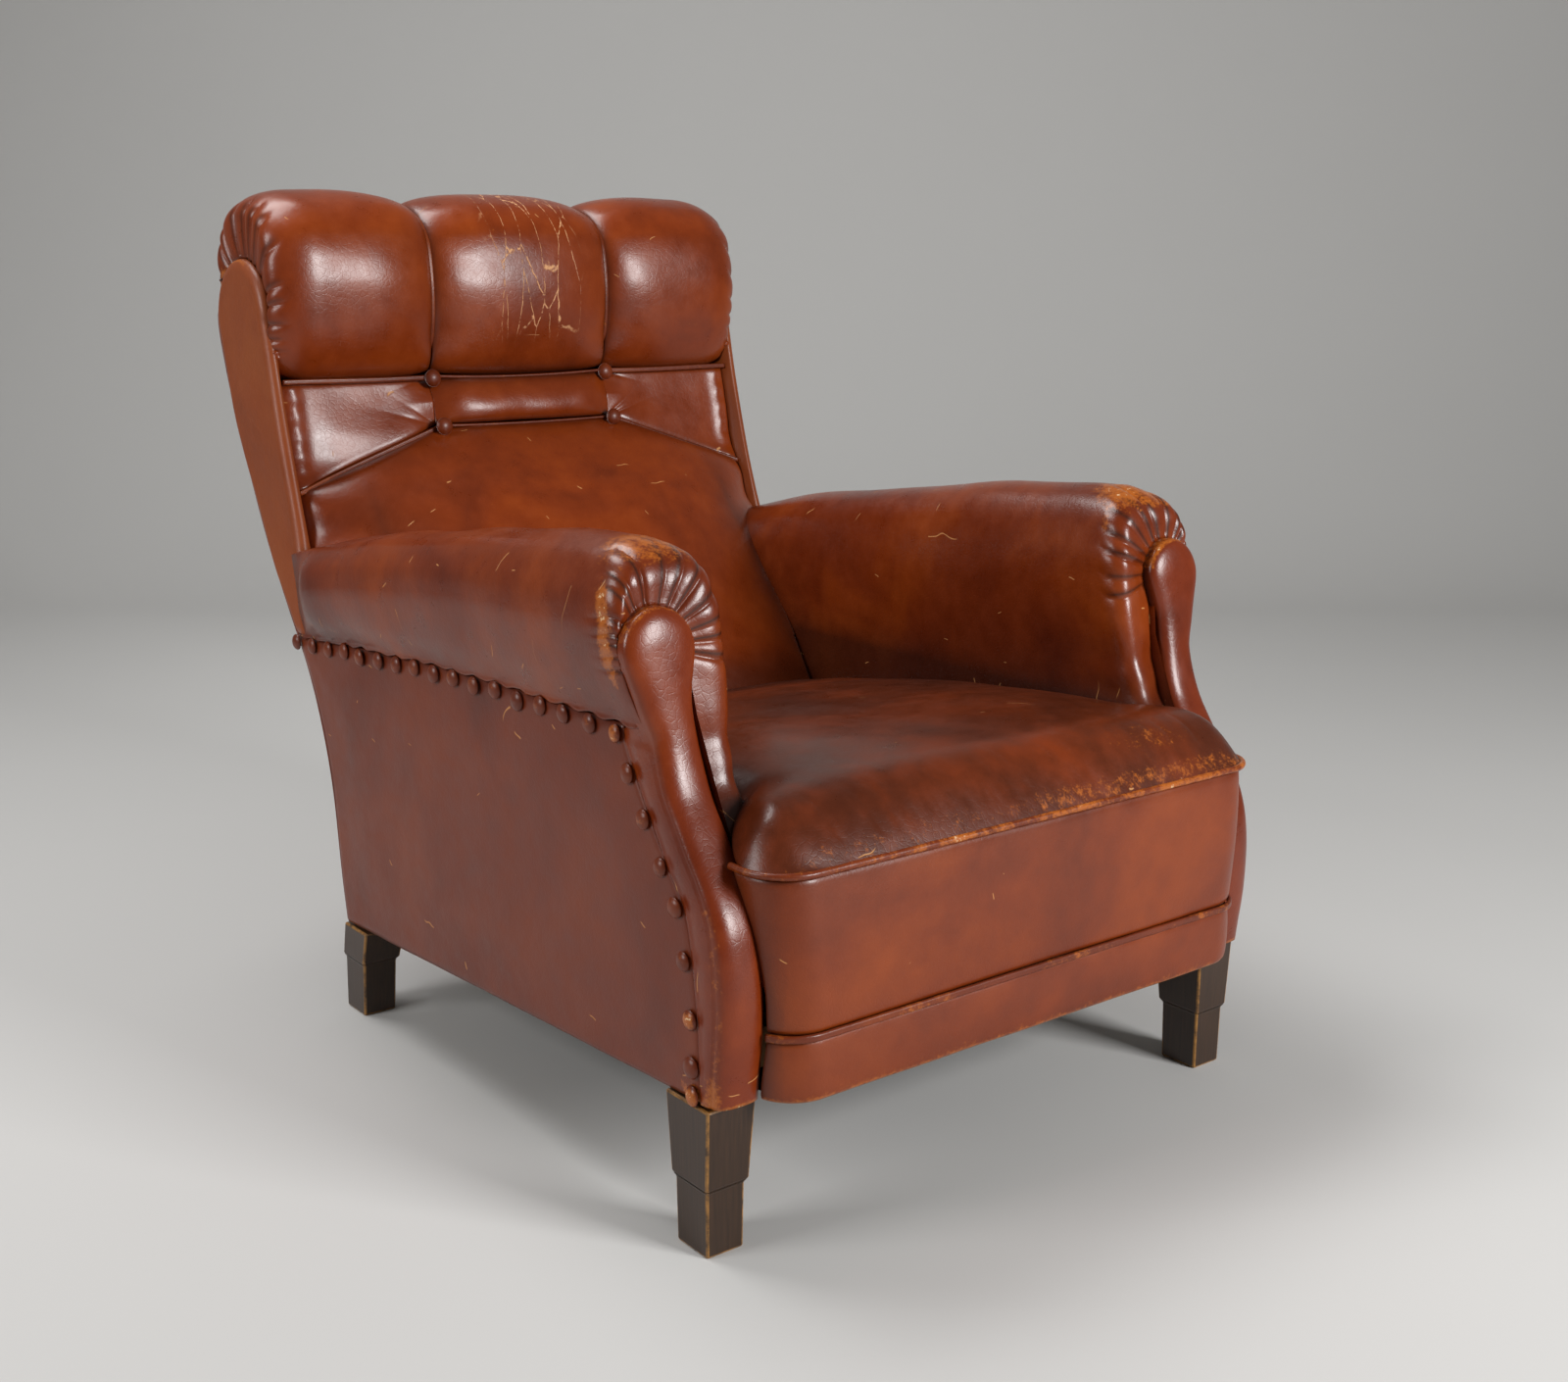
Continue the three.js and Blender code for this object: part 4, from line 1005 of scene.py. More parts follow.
def planPath(half, front, radius, rear):
    # plan of the seat front, from the left facing round both corners to the right one, each point with
    # its outward direction
    straight = np.linspace(0, half - radius, 60)
    last = math.asin(np.clip((rear - front - radius) / radius, -1, 0))
    turn = np.linspace(-math.pi / 2, last, 26)
    line = [(x, front, 0, -1) for x in straight]
    line += [(half - radius + radius * math.cos(a), front + radius + radius * math.sin(a),
              math.cos(a), math.sin(a)) for a in turn[1:]]
    lastY = line[-1][1]
    straightOn = np.linspace(lastY, max(rear, lastY + 0.2), 8)[1:]
    line += [(line[-1][0], y, line[-1][2], line[-1][3]) for y in straightOn]
    right = np.array(line)
    left = right[:0:-1] * (-1, 1, -1, 1)
    return np.vstack([left, right])


frontValues = {
    "corner": 46,
    "front": -57,
    "apron": (213, 357),
    "apronRows": 46,
    "apronThickness": 12,
    "band": (150, 209),
    "bandRows": 24,
    "bandThickness": 9,
    "weltRadius": 3.3,
    "weltHeight": 360.0,
    "lowerWeltRadius": 3.1,
    "lowerWeltHeight": 211.0,
}


def makeBand(name, heights, halfWidths, front, swell, roll, thickness, seed):
    # a curved panel round the seat front; swell is its belly, roll how far its edges turn in
    rows = []
    for height, half in zip(heights, halfWidths):
        t = (height - heights[0]) / (heights[-1] - heights[0])
        fromEdge = min(height - heights[0], heights[-1] - height)
        bulge = swell * math.sin(math.pi * t) - roll * math.exp(-fromEdge / 2.5)
        plan = planPath(half, front, frontValues["corner"], float(armFrontFace(height)) - 1.2)
        row = np.column_stack([plan[:, :2] + plan[:, 2:] * bulge, np.full(len(plan), height)])
        inner = np.column_stack([plan[:, :2] - plan[:, 2:] * thickness, np.full(len(plan), height)])
        rows.append((row, inner))
    outer = np.array([row for row, _ in rows])
    outer[..., 1] += 0.6 * ripple(outer, 90, seed)
    inner = np.array([row for _, row in rows])
    rings = np.concatenate([outer, inner[::-1]], axis=0).transpose(1, 0, 2)
    return closedSkin(name, rings)


def tube(name, line, radius, double=False, wobble=0.0, seed=1, segments=14):
    # covered cord: round, or two cords side by side with a groove between them
    line = np.asarray(line, float)
    ahead = np.gradient(line, axis=0)
    ahead /= np.maximum(np.linalg.norm(ahead, axis=1, keepdims=True), 1e-9)
    up = np.tile((0.0, 0.0, 1.0), (len(line), 1))
    steep = np.abs(ahead[:, 2]) > 0.75
    up[steep] = (1.0, 0.0, 0.0)
    if steep.mean() > 0.25:
        up[:] = (1.0, 0.0, 0.0)
    aside = np.cross(ahead, up)
    aside /= np.linalg.norm(aside, axis=1, keepdims=True)
    over = np.cross(aside, ahead)
    angles = np.linspace(0, 2 * math.pi, segments, endpoint=False)
    dice = np.random.default_rng(seed)
    travel = np.arange(len(line))
    phase = dice.uniform(0, 6, 3)
    lumps = 1 + wobble * (np.sin(travel / 3.1 + phase[0]) + np.sin(travel / 7.3 + phase[1]))
    reach = np.full(segments, float(radius))
    if double:
        reach = radius * (0.62 + 0.62 * np.abs(np.cos(angles)) ** 1.4)
    rings = []
    for k in range(len(line)):
        r = reach * lumps[k]
        sideways, upward = (r * np.sin(angles))[:, None], (r * np.cos(angles))[:, None]
        rings.append(line[k] + aside[k] * sideways + over[k] * upward)
    return closedSkin(name, rings)


def facingShade(p):
    # painted shade in the corner where a panel meets the arm facing
    return np.exp(-np.clip(armFrontFace(p[:, 2]) - p[:, 1], 0, 99) / 9) * (np.abs(p[:, 0]) > 296)


def makeSeatFront():
    v = frontValues
    bottom, top = v["apron"]
    high = np.linspace(bottom, top, v["apronRows"])
    piece = makeBand("seat_front_panel", high, np.linspace(308, 314, v["apronRows"]), v["front"], 3.0, 3.0,
                     v["apronThickness"], 61)
    p = scenePoints(piece)
    paint(piece, "wear", 0.3 * np.exp(-(top - p[:, 2]) / 4) + 0.2 * np.exp(-(p[:, 2] - bottom) / 4))
    # painted shade in the corners by the facings and along the top under the seat's edge
    paint(piece, "paintedShade", np.maximum(0.6 * facingShade(p), 0.35 * np.exp(-(top - p[:, 2]) / 6)))
    register(piece, "front_leather", leathers["front"], "seat_apron")
    low = np.linspace(*v["band"], v["bandRows"])
    piece = makeBand("bottom_border", low, np.full(v["bandRows"], 307.5), v["front"] + 0.5, 1.6, 2.4,
                     v["bandThickness"], 62)
    p = scenePoints(piece)
    hem = np.exp(-(p[:, 2] - v["band"][0]) / 7)
    paint(piece, "wear", 0.68 * hem)
    # painted shade in the corners by the facings
    paint(piece, "paintedShade", 0.6 * facingShade(p))
    register(piece, "front_leather", leathers["front"], "bottom_band")

    plan = planPath(317, v["front"] - 1.6, v["corner"], 4)
    line = np.column_stack([plan[:, :2], np.full(len(plan), v["weltHeight"])])
    welt = tube("seat_piping", spaced(line, 460), v["weltRadius"], wobble=0.035, seed=3)
    p = scenePoints(welt)
    along = 0.5 + 0.25 * np.sin(p[:, 0] / 23) + 0.25 * np.sin(p[:, 0] / 9.1 + 1)
    heavy = smoothStep(-230, -120, p[:, 0])
    paint(welt, "wear", 0.32 + 0.36 * along * heavy)
    register(welt, "welt_leather", leathers["welt"], "seat_welt")

    plan = planPath(309.5, v["front"] - 0.8, v["corner"], -31)
    line = np.column_stack([plan[:, :2], np.full(len(plan), v["lowerWeltHeight"])])
    welt = tube("border_piping", spaced(line, 420), v["lowerWeltRadius"], double=True, wobble=0.02, seed=4)
    p = scenePoints(welt)
    paint(welt, "wear", 0.27 + 0.13 * np.sin(p[:, 0] / 31) + 0.08 * np.sin(p[:, 0] / 7))
    register(welt, "welt_leather", leathers["welt"], "lower_welt")


makeSeat()
makeSeatFront()
print("seat")

backValues = {
    "half": 322,
    "seam": 125.5,
    "neckTop": 726,
    "buttons": [(-126, 889, 725), (126, 889, 725), (-124, 867, 667), (124, 867, 667)],
    "buttonRadius": 11,
    "buttonPull": 7,
    "buttonReach": 24,
    "buttonHeight": 7.5,
    "columns": 190,
    "rows": 110,
    "bottom": 332,
}


def lowerBackTop(x):
    across = np.abs(x)
    slope = (598 - 666) / (backValues["half"] - backValues["seam"])
    return np.where(across <= backValues["seam"], 666, 666 + (across - backValues["seam"]) * slope)


def buttonDimples(x, z):
    v = backValues
    pull = np.zeros_like(x)
    for across, _, height in v["buttons"]:
        apart = np.hypot(x - across, z - height)
        pull = np.maximum(pull, v["buttonPull"] * np.exp(-(apart / v["buttonReach"]) ** 2))
    return pull


def roundOff(distance, width, depth):
    # how far a stuffed edge turns back, by the distance from the edge
    t = np.clip(1 - distance / width, 0, 1)
    return depth * (1 - np.sqrt(np.maximum(1 - t ** 2, 0)))


def makeLowerBack():
    v = backValues
    u = np.linspace(-1, 1, v["columns"])
    x = v["half"] * np.sin(u * math.pi / 2) * 0.5 + v["half"] * 0.5 * u
    rings = []
    for across in x:
        far = abs(across)
        low = blendTo(v["bottom"], 505, smoothStep(254, 262, far))
        top = float(lowerBackTop(across)) - 0.6
        z = np.maximum(top - (top - v["bottom"]) * np.linspace(1, 0, v["rows"]) ** 1.25, low)
        y = backFront(across, z)
        y = y + roundOff(top - z, 24, 11) + roundOff(v["half"] - far, 18, 15)
        y = y + buttonDimples(np.full_like(z, across), z)
        front = np.column_stack([np.full_like(z, across), y, z])
        rearZ = np.linspace(top, low, 6)
        rearY = np.maximum(rearFace(rearZ) - 66, np.interp(rearZ, z, y) + 8)
        rear = np.column_stack([np.full_like(rearZ, across), rearY, rearZ])
        rings.append(np.vstack([front, rear]))
    grid = np.array(rings)
    front = grid[:, :v["rows"]]
    grid[:, :v["rows"]] = pushed(front, 1.3 * ripple(front, 150, 71), (0, 1200, 300))
    piece = closedSkin("lower_back_cover", grid)
    p = scenePoints(piece)
    # painted shade where the back meets the arms and the seat, and under the seam along its top
    toArm = np.exp(-np.clip(np.abs(250 - np.abs(p[:, 0])), 0, 99) / 22) * (1 - smoothStep(560, 640, p[:, 2]))
    toSeat = 1 - smoothStep(345, 400, p[:, 2])
    seamLine = np.exp(-(lowerBackTop(p[:, 0]) - p[:, 2]) / 6)
    paint(piece, "paintedShade", np.maximum.reduce([0.5 * toArm, 0.6 * toSeat, 0.5 * seamLine]))
    paint(piece, "wear", np.full(len(p), 0.16))
    register(piece, "back_leather", leathers["back"], "lower_back_pad")


def makeBolster():
    v = backValues
    rows, reach = 44, v["seam"] + 1
    low, high = 668.5, v["neckTop"] - 0.5
    middle, half = (low + high) / 2, (high - low) / 2
    z = np.linspace(low, high, rows)
    rings = []
    for across in reach * np.sin(np.linspace(-1, 1, 90) * math.pi / 2):
        u = abs(across) / reach
        swell = np.sqrt(np.maximum(1 - ((z - middle) / half) ** 2, 0)) ** 0.85
        base = backFrontEdge(z) + 5
        bulge = 20 * swell * (1 - u ** 5)
        y = base - bulge + 0.5 * buttonDimples(np.full_like(z, across), z)
        front = np.column_stack([np.full_like(z, across), y, z])
        rear = [(across, 935, high), (across, 925, low)]
        rings.append(np.vstack([front, rear]))
    grid = np.array(rings)
    grid[:, :rows, 1] += 0.7 * ripple(grid[:, :rows], 60, 72)
    piece = closedSkin("neck_bolster_cover", grid)
    p = scenePoints(piece)
    # painted shade along the bolster's top and bottom seams
    paint(piece, "paintedShade", 0.7 * np.exp(-np.minimum(p[:, 2] - 668, 723 - p[:, 2]) / 5))
    register(piece, "back_leather", leathers["back"], "neck_bolster")


def makeNeckSide(side):
    v = backValues
    rows = 60
    rings = []
    for across in np.linspace(v["seam"] + 1.2, v["half"], 110):
        low = float(lowerBackTop(across)) + 1.0
        high = v["neckTop"] - 0.5
        z = np.linspace(low, high, rows)
        t = (z - low) / (high - low)
        y = backFrontEdge(z) + 5 + 5 * np.sin(math.pi * t) * smoothStep(125, 200, across)
        y = y - 3 * np.exp(-((across - 309) / 10) ** 2) + roundOff(v["half"] + 3 - across, 10, 9)
        y = y + roundOff(z - low, 9, 4) + roundOff(high - z, 9, 5)
        y = y + buttonDimples(np.full_like(z, across), z)
        front = np.column_stack([np.full_like(z, across), y, z])
        rear = [(across, 952, high), (across, max(y[0] + 8, float(rearFace(low)) - 66), low)]
        rings.append(np.vstack([front, rear]))
    grid = np.array(rings)
    front = grid[:, :rows].copy()
    x, z = front[..., 0], front[..., 2]
    fan = np.zeros_like(x)
    for across, height, slant, reach in ((126, 725, -14, 46), (124, 667, 16, 60), (124, 667, 34, 44)):
        angle = np.degrees(np.arctan2(z - height, x - across))
        apart = np.hypot(x - across, z - height)
        fan += np.exp(-np.abs(angle - slant) / 5) * np.exp(-(apart / reach) ** 2) * smoothStep(8, 16, apart)
    puckers = np.exp(-((x - 313) / 8) ** 2) * (0.5 + 0.5 * np.sin(z / 3.6))
    front[..., 1] += (2.4 if side > 0 else 1.3) * fan + 1.0 * puckers + 0.8 * ripple(front, 90, 73 + side)
    grid[:, :rows] = front
    grid[..., 0] *= side
    piece = closedSkin(f"neck_panel_{sideName[side]}", grid)
    p = scenePoints(piece)
    # painted shade along the seams at the panel's top and bottom
    near = np.minimum(p[:, 2] - lowerBackTop(p[:, 0]), v["neckTop"] - p[:, 2])
    paint(piece, "paintedShade", 0.6 * np.exp(-near / 5))
    paint(piece, "wear", 0.2 * np.exp(-((np.abs(p[:, 0]) - 312) / 5) ** 2))
    register(piece, "back_leather", leathers["back"], f"neck_side_{sideName[side]}")


rollValues = {
    "outline": [
        (915, 726), (895, 729), (880, 746), (868, 778), (862, 812), (862, 850), (871, 896), (886, 919),
        (908, 936), (945, 947), (990, 945), (1029, 926), (1053, 894), (1061, 864), (1058, 843), (1048, 824),
        (1032, 814),
    ],
    "count": 300,
    "valley": 21,
    "endStart": 276,
    "endReach": 57,
    "endInset": 29,
    "archDepth": 969,
    "archHeight": 797,
    "archRadius": 72,
    "pleats": 14,
    "pleatDepth": 4.2,
}
backFacingFront = curveThrough([(437, 794), (444, 796), (551, 829), (629, 854), (718, 880), (797, 897)])


def puffInset(u):
    v = rollValues
    return v["valley"] * (1 - (1 - np.clip(np.abs(u), 0, 1) ** 2.5) ** (1 / 2.1))


def neckHold(y, z):
    # how much of the swelling and the valley is let out, least where the roll meets the neck
    return 0.35 + 0.65 * smoothStep(727, 785, z + 200 * (y > 945))


def neckShade(p):
    # painted shade on the front of the head roll just above where it meets the neck
    return np.exp(-np.clip(p[:, 2] - 727, 0, 999) / 9) * (p[:, 1] < 930)


def archAngle(y, z):
    # degrees round the top of the back facing, carried on down its front edge
    v = rollValues
    angle = np.degrees(np.arctan2(z - v["archHeight"], y - v["archDepth"]))
    angle = np.where(angle < -60, angle + 360, angle)
    ahead = (z < v["archHeight"]) & (y < v["archDepth"])
    return np.where(ahead, 180 + (v["archHeight"] - z) / 1.25, angle)


def closeRoll(grid):
    closed = []
    for ring in grid:
        x = ring[-1, 0]
        hidden = [(x, 985, 815), (x, 962, 795), (x, 950, 760), (x, 936, 728)]
        closed.append(np.vstack([ring, hidden]))
    return np.array(closed)


def makeMiddlePuff():
    v = rollValues
    outline = spaced(v["outline"], v["count"])
    places = backValues["seam"] * np.sin(np.linspace(-1, 1, 110) * math.pi / 2)
    grid = np.array([np.column_stack([np.full(v["count"], x), outline]) for x in places])
    u = grid[..., 0] / backValues["seam"]
    nearNeck = neckHold(grid[..., 1], grid[..., 2])
    amount = -puffInset(u) * nearNeck + 2.5 * (1 - u ** 2) + 1.0 * ripple(grid, 90, 81)
    grid = pushed(grid, amount, (0, 960, 836))
    grid[..., 0] *= 0.997
    piece = closedSkin("head_puff_middle", closeRoll(grid))
    p = scenePoints(piece)
    seam = np.exp(-(backValues["seam"] - np.abs(p[:, 0])) / 5)
    x = p[:, 0]
    cracks = smoothStep(-62, -28, x) * (1 - smoothStep(62, 84, x)) * smoothStep(762, 800, p[:, 2])
    paint(piece, "cracks", cracks * (p[:, 1] < 1010))
    # painted shade at the seams between the puffs and where the roll meets the neck
    paint(piece, "paintedShade", np.maximum(0.7 * seam, 0.75 * neckShade(p)))
    paint(piece, "wear", np.full(len(p), 0.18))
    register(piece, "back_leather", leathers["middlePuff"], "head_roll_middle")


def makeEndPuff(side):
    v = rollValues
    dice = np.random.default_rng(91 + side)
    outline = spaced(v["outline"], v["count"])
    grown = np.array([np.column_stack([np.full(v["count"], x), outline]) for x in (0.0, 1.0, 2.0)])
    outward = surfaceNormals(grown)[1][:, 1:]
    if np.dot(outward[100], outline[100] - (960, 836)) < 0:
        outward = -outward
    seam = backValues["seam"]
    body = seam + (v["endStart"] - seam) * (1 - np.cos(np.linspace(0, math.pi / 2, 80)))
    nearNeck = neckHold(outline[:, 0], outline[:, 1])
    rings, onEnd = [], []
    span = (v["endStart"] + v["endReach"] - seam) / 2
    for x in body:
        u = (x - seam - span) / span
        inset = puffInset(u) if u < 0 else 0.0
        swell = 2.5 * (1 - u ** 2)
        move = (swell - inset * nearNeck)[:, None]
        rings.append(np.column_stack([np.full(v["count"], x), outline + outward * move]))
        onEnd.append(0.0)
    swell = 2.5 * (1 - ((v["endStart"] - seam - span) / span) ** 2)
    for turn in np.linspace(0, math.pi / 2, 22)[1:]:
        x = v["endStart"] + v["endReach"] * math.sin(turn)
        inset = v["endInset"] * (1 - math.cos(turn)) - swell * (1 - turn / (math.pi / 2))
        rings.append(np.column_stack([np.full(v["count"], x), outline - outward * inset]))
        onEnd.append(smoothStep(0.62, 1.2, turn))
    last = rings[-1]
    y, z = last[:, 1], last[:, 2]
    angle = np.arctan2(z - v["archHeight"], y - v["archDepth"])
    reach = v["archRadius"] + 0.8
    edgeY = np.where(z >= v["archHeight"], v["archDepth"] + reach * np.cos(angle), backFacingFront(z) - 0.8)
    edgeZ = np.where(z >= v["archHeight"], v["archHeight"] + reach * np.sin(angle), z)
    for t in np.linspace(0, 1, 20)[1:]:
        x = last[:, 0] - 5 * t ** 2
        rings.append(np.column_stack([x, blendTo(y, edgeY, t), blendTo(z, edgeZ, t)]))
        onEnd.append(1.0)
    sunk = rings[-1].copy()
    sunk[:, 0] -= 9
    rings.append(sunk)
    onEnd.append(0.0)
    grid = np.array(rings)
    onEnd = np.array(onEnd)[:, None]
    angle = archAngle(grid[..., 1], grid[..., 2])
    places = np.linspace(-6, 236, v["pleats"] + 4) + dice.uniform(-4.5, 4.5, v["pleats"] + 4)
    slant = angle + 3.0 * np.sin(grid[..., 0] / 11)
    depth = v["pleatDepth"] * onEnd
    rearDeeper = 0.75 + 0.5 * (1 - smoothStep(60, 130, angle))
    lower = 1 - 0.5 * smoothStep(200, 240, angle)
    folded = 0.8 * creases(slant, places, 1.8) + 0.3 * creases(slant, places, 6.0)
    amount = -depth * rearDeeper * lower * folded
    amount += 0.25 * depth + 1.0 * ripple(grid, 100, 83 + side) * (1 - 0.6 * onEnd)
    amount = amount * smoothStep(0, 14, np.arange(v["count"])[::-1])
    grid = pushed(grid, amount, (220, 960, 836))
    grid[..., 0] *= side
    piece = closedSkin(f"head_puff_{sideName[side]}", closeRoll(grid))
    p = scenePoints(piece)
    x = np.abs(p[:, 0])
    # painted shade at the seam, where the roll meets the neck, round the gathered arch and in the pleat folds
    seamDark = np.exp(-(x - seam) / 5)
    toArch = np.hypot(p[:, 1] - v["archDepth"], p[:, 2] - v["archHeight"]) - v["archRadius"]
    gather = np.exp(-np.clip(toArch, 0, 99) / 9) * (x > 318)
    folds = creases(archAngle(p[:, 1], p[:, 2]), places, 1.3) * smoothStep(318, 330, x)
    paint(piece, "paintedShade", np.maximum.reduce([0.7 * seamDark, 0.75 * neckShade(p), 0.6 * gather, 0.7 * folds]))
    rearWear = np.exp(-np.abs(toArch - 6) / 8) * (x > 322) * smoothStep(980, 1030, p[:, 1])
    paint(piece, "wear", np.maximum(0.16, 0.62 * rearWear * (1.0 if side < 0 else 0.6)))
    register(piece, "back_leather", leathers["back"], f"head_roll_{sideName[side]}")


backFacingValues = {"across": 60, "drop": 9, "rows": 120, "domeRows": 34}
backFacingFace = curveThrough([(437, 352), (490, 346), (560, 340), (700, 339), (870, 338.5)])


def makeBackFacing(side):
    v = backFacingValues
    r = rollValues
    levels = [(z, float(backFacingFront(z)), float(rearFace(z)) - 1, 0.0)
              for z in np.linspace(438, r["archHeight"], v["rows"])]
    endHalf = (levels[-1][2] - levels[-1][1]) / 2
    middle = (levels[-1][2] + levels[-1][1]) / 2
    for lift in np.linspace(0, math.pi / 2, v["domeRows"])[1:]:
        half = endHalf * math.cos(lift) + 0.02
        levels.append((r["archHeight"] + r["archRadius"] * math.sin(lift), middle - half, middle + half,
                       math.sin(lift)))
    rings = []
    for z, front, rear, rise in levels:
        a = -np.cos(np.linspace(0, math.pi, v["across"]))
        half, centre = (rear - front) / 2, (rear + front) / 2
        widest = endHalf if rise else half
        # distance in from the outline decides how far the padding has fallen away
        fromEdge = widest * (1 - np.sqrt((a * half / widest) ** 2 + rise ** 2))
        fall = roundOff(np.clip(fromEdge, 0, 99), 13, v["drop"])
        fall = fall + roundOff(np.full_like(a, z - 438), 12, v["drop"] * 0.6)
        x = float(backFacingFace(z)) - fall
        face = np.column_stack([x, centre + a * half, np.full_like(a, z)])
        hidden = [(326, rear, z), (326, front, z)]
        rings.append(np.vstack([face, hidden]))
    grid = np.array(rings)
    grid[:, :-2, 0] += 0.7 * ripple(grid[:, :-2], 90, 95 + side)
    grid[..., 0] *= side
    piece = closedSkin(f"back_side_facing_{sideName[side]}", grid)
    p = scenePoints(piece)
    top = smoothStep(840, 866, p[:, 2]) * np.exp(-((np.abs(p[:, 0]) - 334) / 4) ** 2)
    edge = np.exp(-np.abs(p[:, 1] - backFacingFront(p[:, 2]) - 4) / 4)
    paint(piece, "wear", np.maximum(0.55 * top, 0.3 * edge))
    register(piece, "facing_leather", leathers["backFacing"], f"back_facing_{sideName[side]}")


outsideBackValues = {"columns": 80, "rows": 110, "low": 112, "high": 835, "flat": (0.70, 0.83)}
outsideHalf = curveThrough([
    (110, 349), (430, 349), (541, 338), (672, 334), (775, 336), (800, 335), (815, 331), (840, 322),
])


def makeOutsideBack():
    v = outsideBackValues
    rings = []
    for z in np.linspace(v["low"], v["high"], v["rows"]):
        half = float(outsideHalf(z)) - 0.5
        x = half * np.linspace(-1, 1, v["columns"])
        fromEdge = np.minimum(half - np.abs(x), np.minimum(z - v["low"], v["high"] - z))
        out = 3.0 * smoothStep(0, 160, fromEdge) - 2.0 * (1 - smoothStep(0, 5, fromEdge))
        y = float(rearFace(z)) + 3.5 + out
        face = np.column_stack([x, y, np.full_like(x, z)])
        inside = np.column_stack([x[::-1], np.full_like(x, float(rearFace(z)) + 0.5), np.full_like(x, z)])
        rings.append(np.vstack([face, inside]))
    grid = np.array(rings)
    grid[:, :v["columns"], 1] += 0.9 * ripple(grid[:, :v["columns"]], 170, 101)
    piece = closedSkin("outside_back_cover", grid)
    p = scenePoints(piece)
    toSide = outsideHalf(p[:, 2]) - np.abs(p[:, 0])
    paint(piece, "wear", 0.4 * np.exp(-(p[:, 2] - v["low"]) / 4) + 0.2 * np.exp(-toSide / 4))
    register(piece, "panel_leather", leathers["panel"], "outside_back")


seamValues = {
    "puffRadius": 2.3,
    "rollRadius": 2.6,
    "diagonalRadius": 2.4,
    "rollMiddleRadius": 1.9,
    "bolsterRadius": 2.0,
    "middleHalf": 118,
    "wear": 0.27,
}


def finishWelts(welts):
    for welt in welts:
        paint(welt, "wear", np.full(len(welt.data.vertices), seamValues["wear"]))
        register(welt, "welt_leather", leathers["welt"])


def makeSeams():
    v = seamValues
    seam, neck = backValues["seam"], backValues["neckTop"]
    r = rollValues
    outline = spaced(r["outline"], 160)
    for side in (-1, 1):
        name = sideName[side]
        away = outline - (960, 836)
        away /= np.linalg.norm(away, axis=1, keepdims=True)
        pulled = outline - away * (r["valley"] - 3)
        line = np.column_stack([np.full(160, side * seam), pulled])[6:-4]
        welts = [tube(f"puff_seam_{name}", line, v["puffRadius"], double=True, seed=5)]
        across = np.linspace(seam + 4, 321, 90)
        rollDepth = backFrontEdge(neck) - 1.5 + 3 * ((across - 322) / 200) ** 4
        line = np.column_stack([side * across, rollDepth, neck + 0.6 * np.sin(across / 40)])
        welts.append(tube(f"roll_seam_{name}", line, v["rollRadius"], double=True, seed=6))
        slope = lowerBackTop(across)
        line = np.column_stack([side * across, backFrontEdge(slope) + 3.5, slope])
        welts.append(tube(f"diagonal_seam_{name}", line, v["diagonalRadius"], double=True, seed=7))
        finishWelts(welts)
    across = np.linspace(-v["middleHalf"], v["middleHalf"], 120)
    sag = 3.2 * (1 - (across / v["middleHalf"]) ** 2)
    line = np.column_stack([across, np.full_like(across, 888), neck + 1 - sag])
    upper = tube("roll_seam_middle", line, v["rollMiddleRadius"], seed=8)
    line = np.column_stack([across, np.full_like(across, 873), 667 - 0.5 * sag])
    lower = tube("bolster_seam", line, v["bolsterRadius"], seed=9)
    finishWelts([upper, lower])


def makeDome(name, radius, height, segments, rings):
    # a leather-covered head: half a flattened ball with an eased rim
    bpy.ops.object.select_all(action="DESELECT")
    bpy.ops.mesh.primitive_uv_sphere_add(segments=segments, ring_count=rings, radius=radius * metre)
    piece = bpy.context.object
    piece.name = name
    bpy.ops.object.mode_set(mode="EDIT")
    bpy.ops.mesh.select_all(action="SELECT")
    bpy.ops.mesh.bisect(plane_co=(0, 0, 0), plane_no=(0, 0, 1), use_fill=True, clear_inner=True)
    bpy.ops.mesh.select_all(action="SELECT")
    bpy.ops.transform.resize(value=(1, 1, height / radius), center_override=(0, 0, 0))
    bpy.ops.object.mode_set(mode="OBJECT")
    shape = bmesh.new()
    shape.from_mesh(piece.data)
    rim = [e for e in shape.edges if e.is_manifold and e.calc_face_angle() > math.radians(50)]
    bmesh.ops.bevel(shape, geom=rim, offset=radius * metre * 0.12, segments=2, profile=0.5, affect="EDGES")
    bmesh.ops.recalc_face_normals(shape, faces=shape.faces)
    shape.to_mesh(piece.data)
    shape.free()
    piece.data.shade_smooth()
    return piece


def setDome(pattern, name, place, facing, size=1.0, spin=0.0):
    # a copy of the pattern with its own mesh, its flat side at place and its crown towards facing
    mesh = pattern.data.copy()
    turn = Vector(facing).to_track_quat("Z", "Y").to_matrix().to_4x4()
    spot = (Vector(place) + Vector((0, legFrontDepth, 0))) * metre
    move = Matrix.Translation(spot) @ turn @ Matrix.Rotation(spin, 4, "Z") @ Matrix.Scale(size, 4)
    mesh.transform(move)
    mesh.update()
    return addObject(name, mesh)


nailValues = {
    "face": 352.3,
    "radius": 9.8,
    "height": 5.4,
    "first": 127,
    "last": 816,
    "along": 17,
    "frontHeights": [424, 390, 352, 321, 275, 223, 180, 153],
    "bald": [0, 22, 24],
}


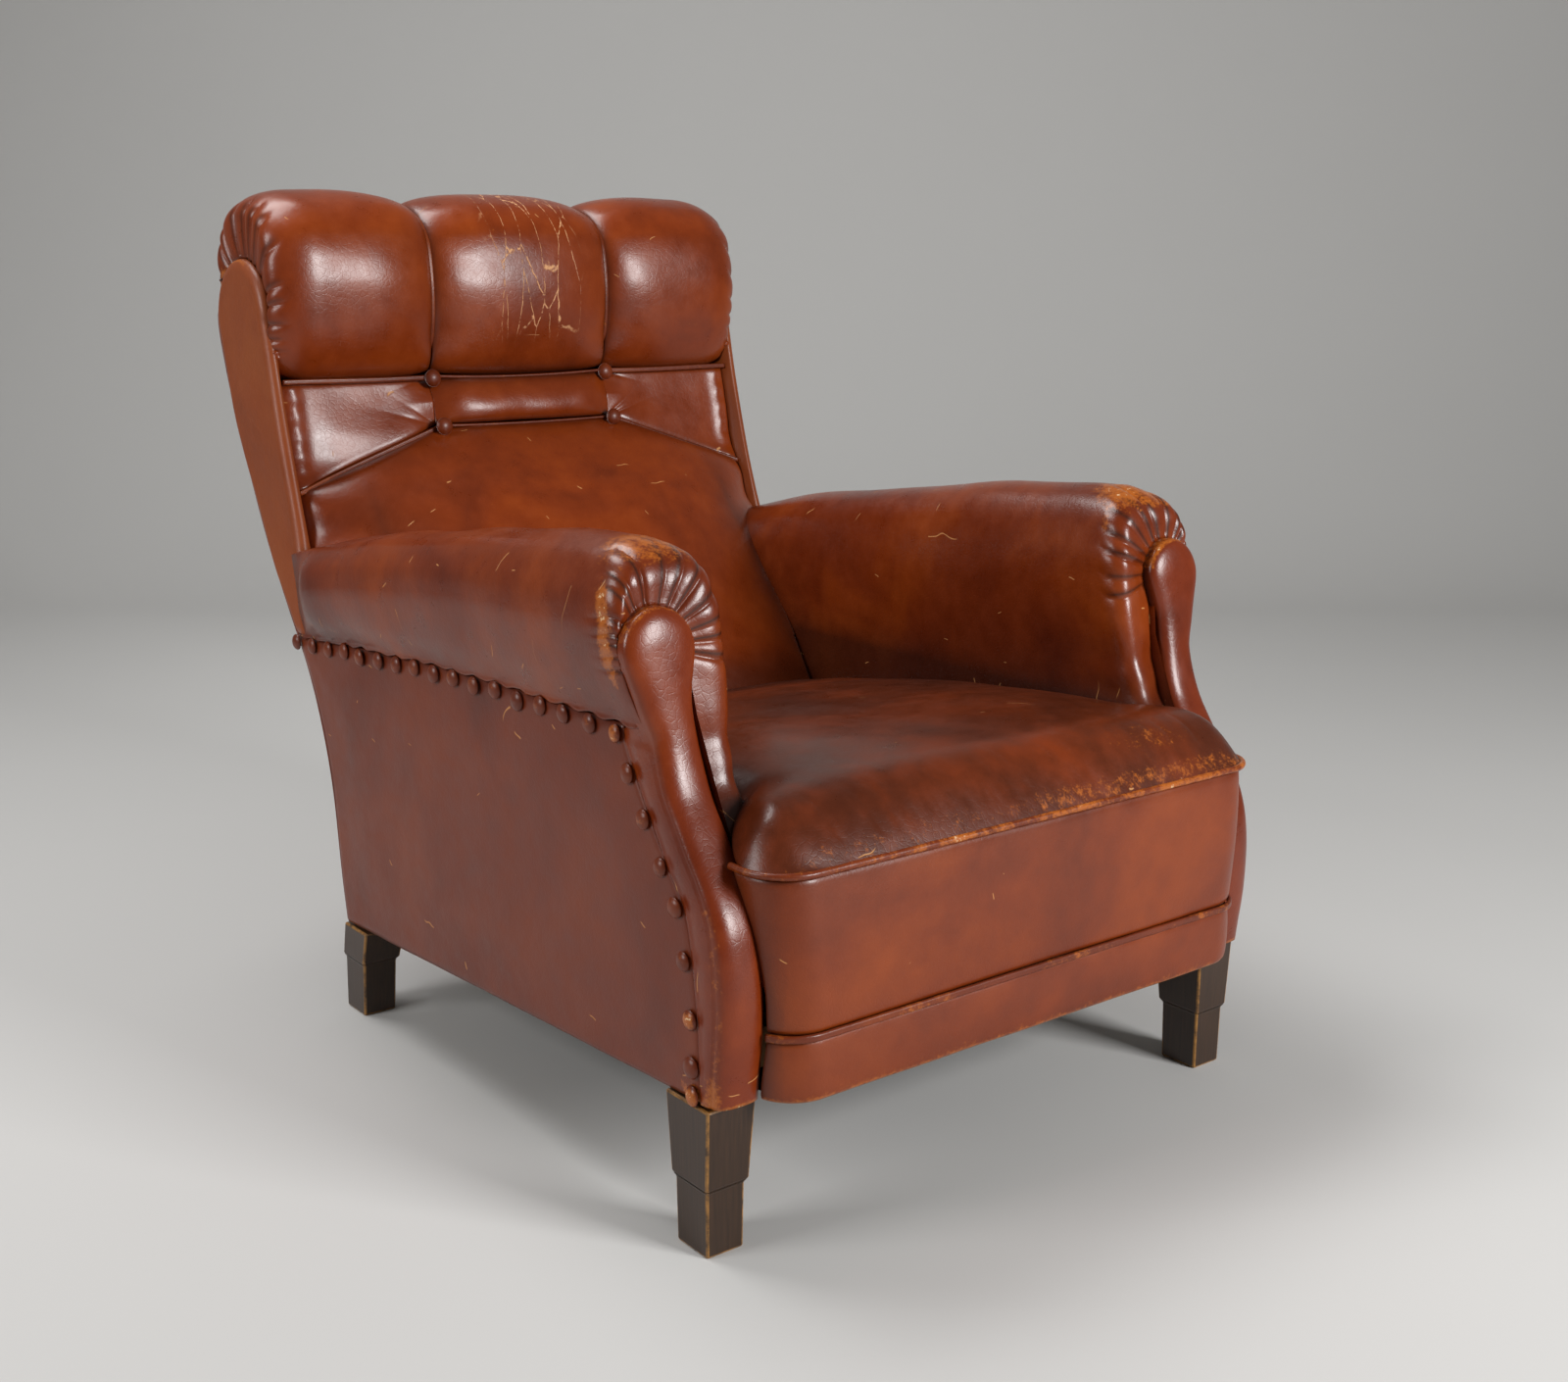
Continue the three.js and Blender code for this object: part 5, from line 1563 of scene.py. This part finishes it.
def makeButtonsAndNails():
    v = backValues
    pattern = makeDome("button_pattern", v["buttonRadius"], v["buttonHeight"], 28, 20)
    names = ["button_upper_left", "button_upper_right", "button_lower_left", "button_lower_right"]
    for name, place in zip(names, v["buttons"]):
        piece = setDome(pattern, f"covered_{name}", Vector(place) - Vector((0, 1, 0)), (0, -1, 0.12))
        paint(piece, "wear", np.full(len(piece.data.vertices), 0.22))
        register(piece, "welt_leather", leathers["welt"], name)
    bpy.data.objects.remove(pattern)
    n = nailValues
    pattern = makeDome("nail_pattern", n["radius"], n["height"], 20, 14)
    dice = np.random.default_rng(17)
    for side in (-1, 1):
        along = np.linspace(n["first"], n["last"], n["along"])
        spots = [(depth, float(nailLine(depth)) - 0.5) for depth in along]
        spots += [(float(nailedFrontEdge(height)) + 0.5, height) for height in n["frontHeights"]]
        for k, (depth, height) in enumerate(spots):
            lean = dice.normal(0, 0.05, 2)
            jog = dice.normal(0, 0.9, 2)
            place = (side * n["face"], depth + jog[0], height + jog[1])
            piece = setDome(pattern, f"covered_nail_{sideName[side]}_{k + 1}", place,
                            (side, lean[0], lean[1]), 1 + dice.normal(0, 0.03), dice.uniform(0, 6))
            p = scenePoints(piece)
            crown = smoothStep(352, 357.5, np.abs(p[:, 0]))
            amount = (0.7 if k in n["bald"] else 0.3) * crown
            paint(piece, "wear", amount)
            register(piece, "welt_leather", leathers["welt"])
    bpy.data.objects.remove(pattern)


dustValues = {
    "front": -20,
    "rear": 662,
    "half": 294,
    "sag": 7,
    "thickness": 1.0,
    "cells": 48,
    "flat": (0.59, 0.70),
}


def makeDustCover():
    v = dustValues
    rings, lows = [], []
    for depth in np.linspace(v["front"], v["rear"], v["cells"]):
        x = np.linspace(-v["half"], v["half"], v["cells"])
        level = underside(depth) + 0.6
        hang = v["sag"] * np.cos(x / v["half"] * math.pi / 2) * math.sin(
            math.pi * (depth - v["front"]) / (v["rear"] - v["front"]))
        low = np.column_stack([x, np.full_like(x, depth), level - hang * 0.6])
        high = low[::-1] + (0, 0, v["thickness"])
        rings.append(np.vstack([low, high]))
        lows.append(low)
    piece = closedSkin("dust_cover_cloth", np.array(rings))
    register(piece, "dust_cloth", dustCloth, "dust_cover")


makeLowerBack()
makeBolster()
makeMiddlePuff()
for side in (-1, 1):
    makeNeckSide(side)
    makeEndPuff(side)
    makeBackFacing(side)
makeOutsideBack()
makeSeams()
makeButtonsAndNails()
makeDustCover()
print("back, buttons and nails")
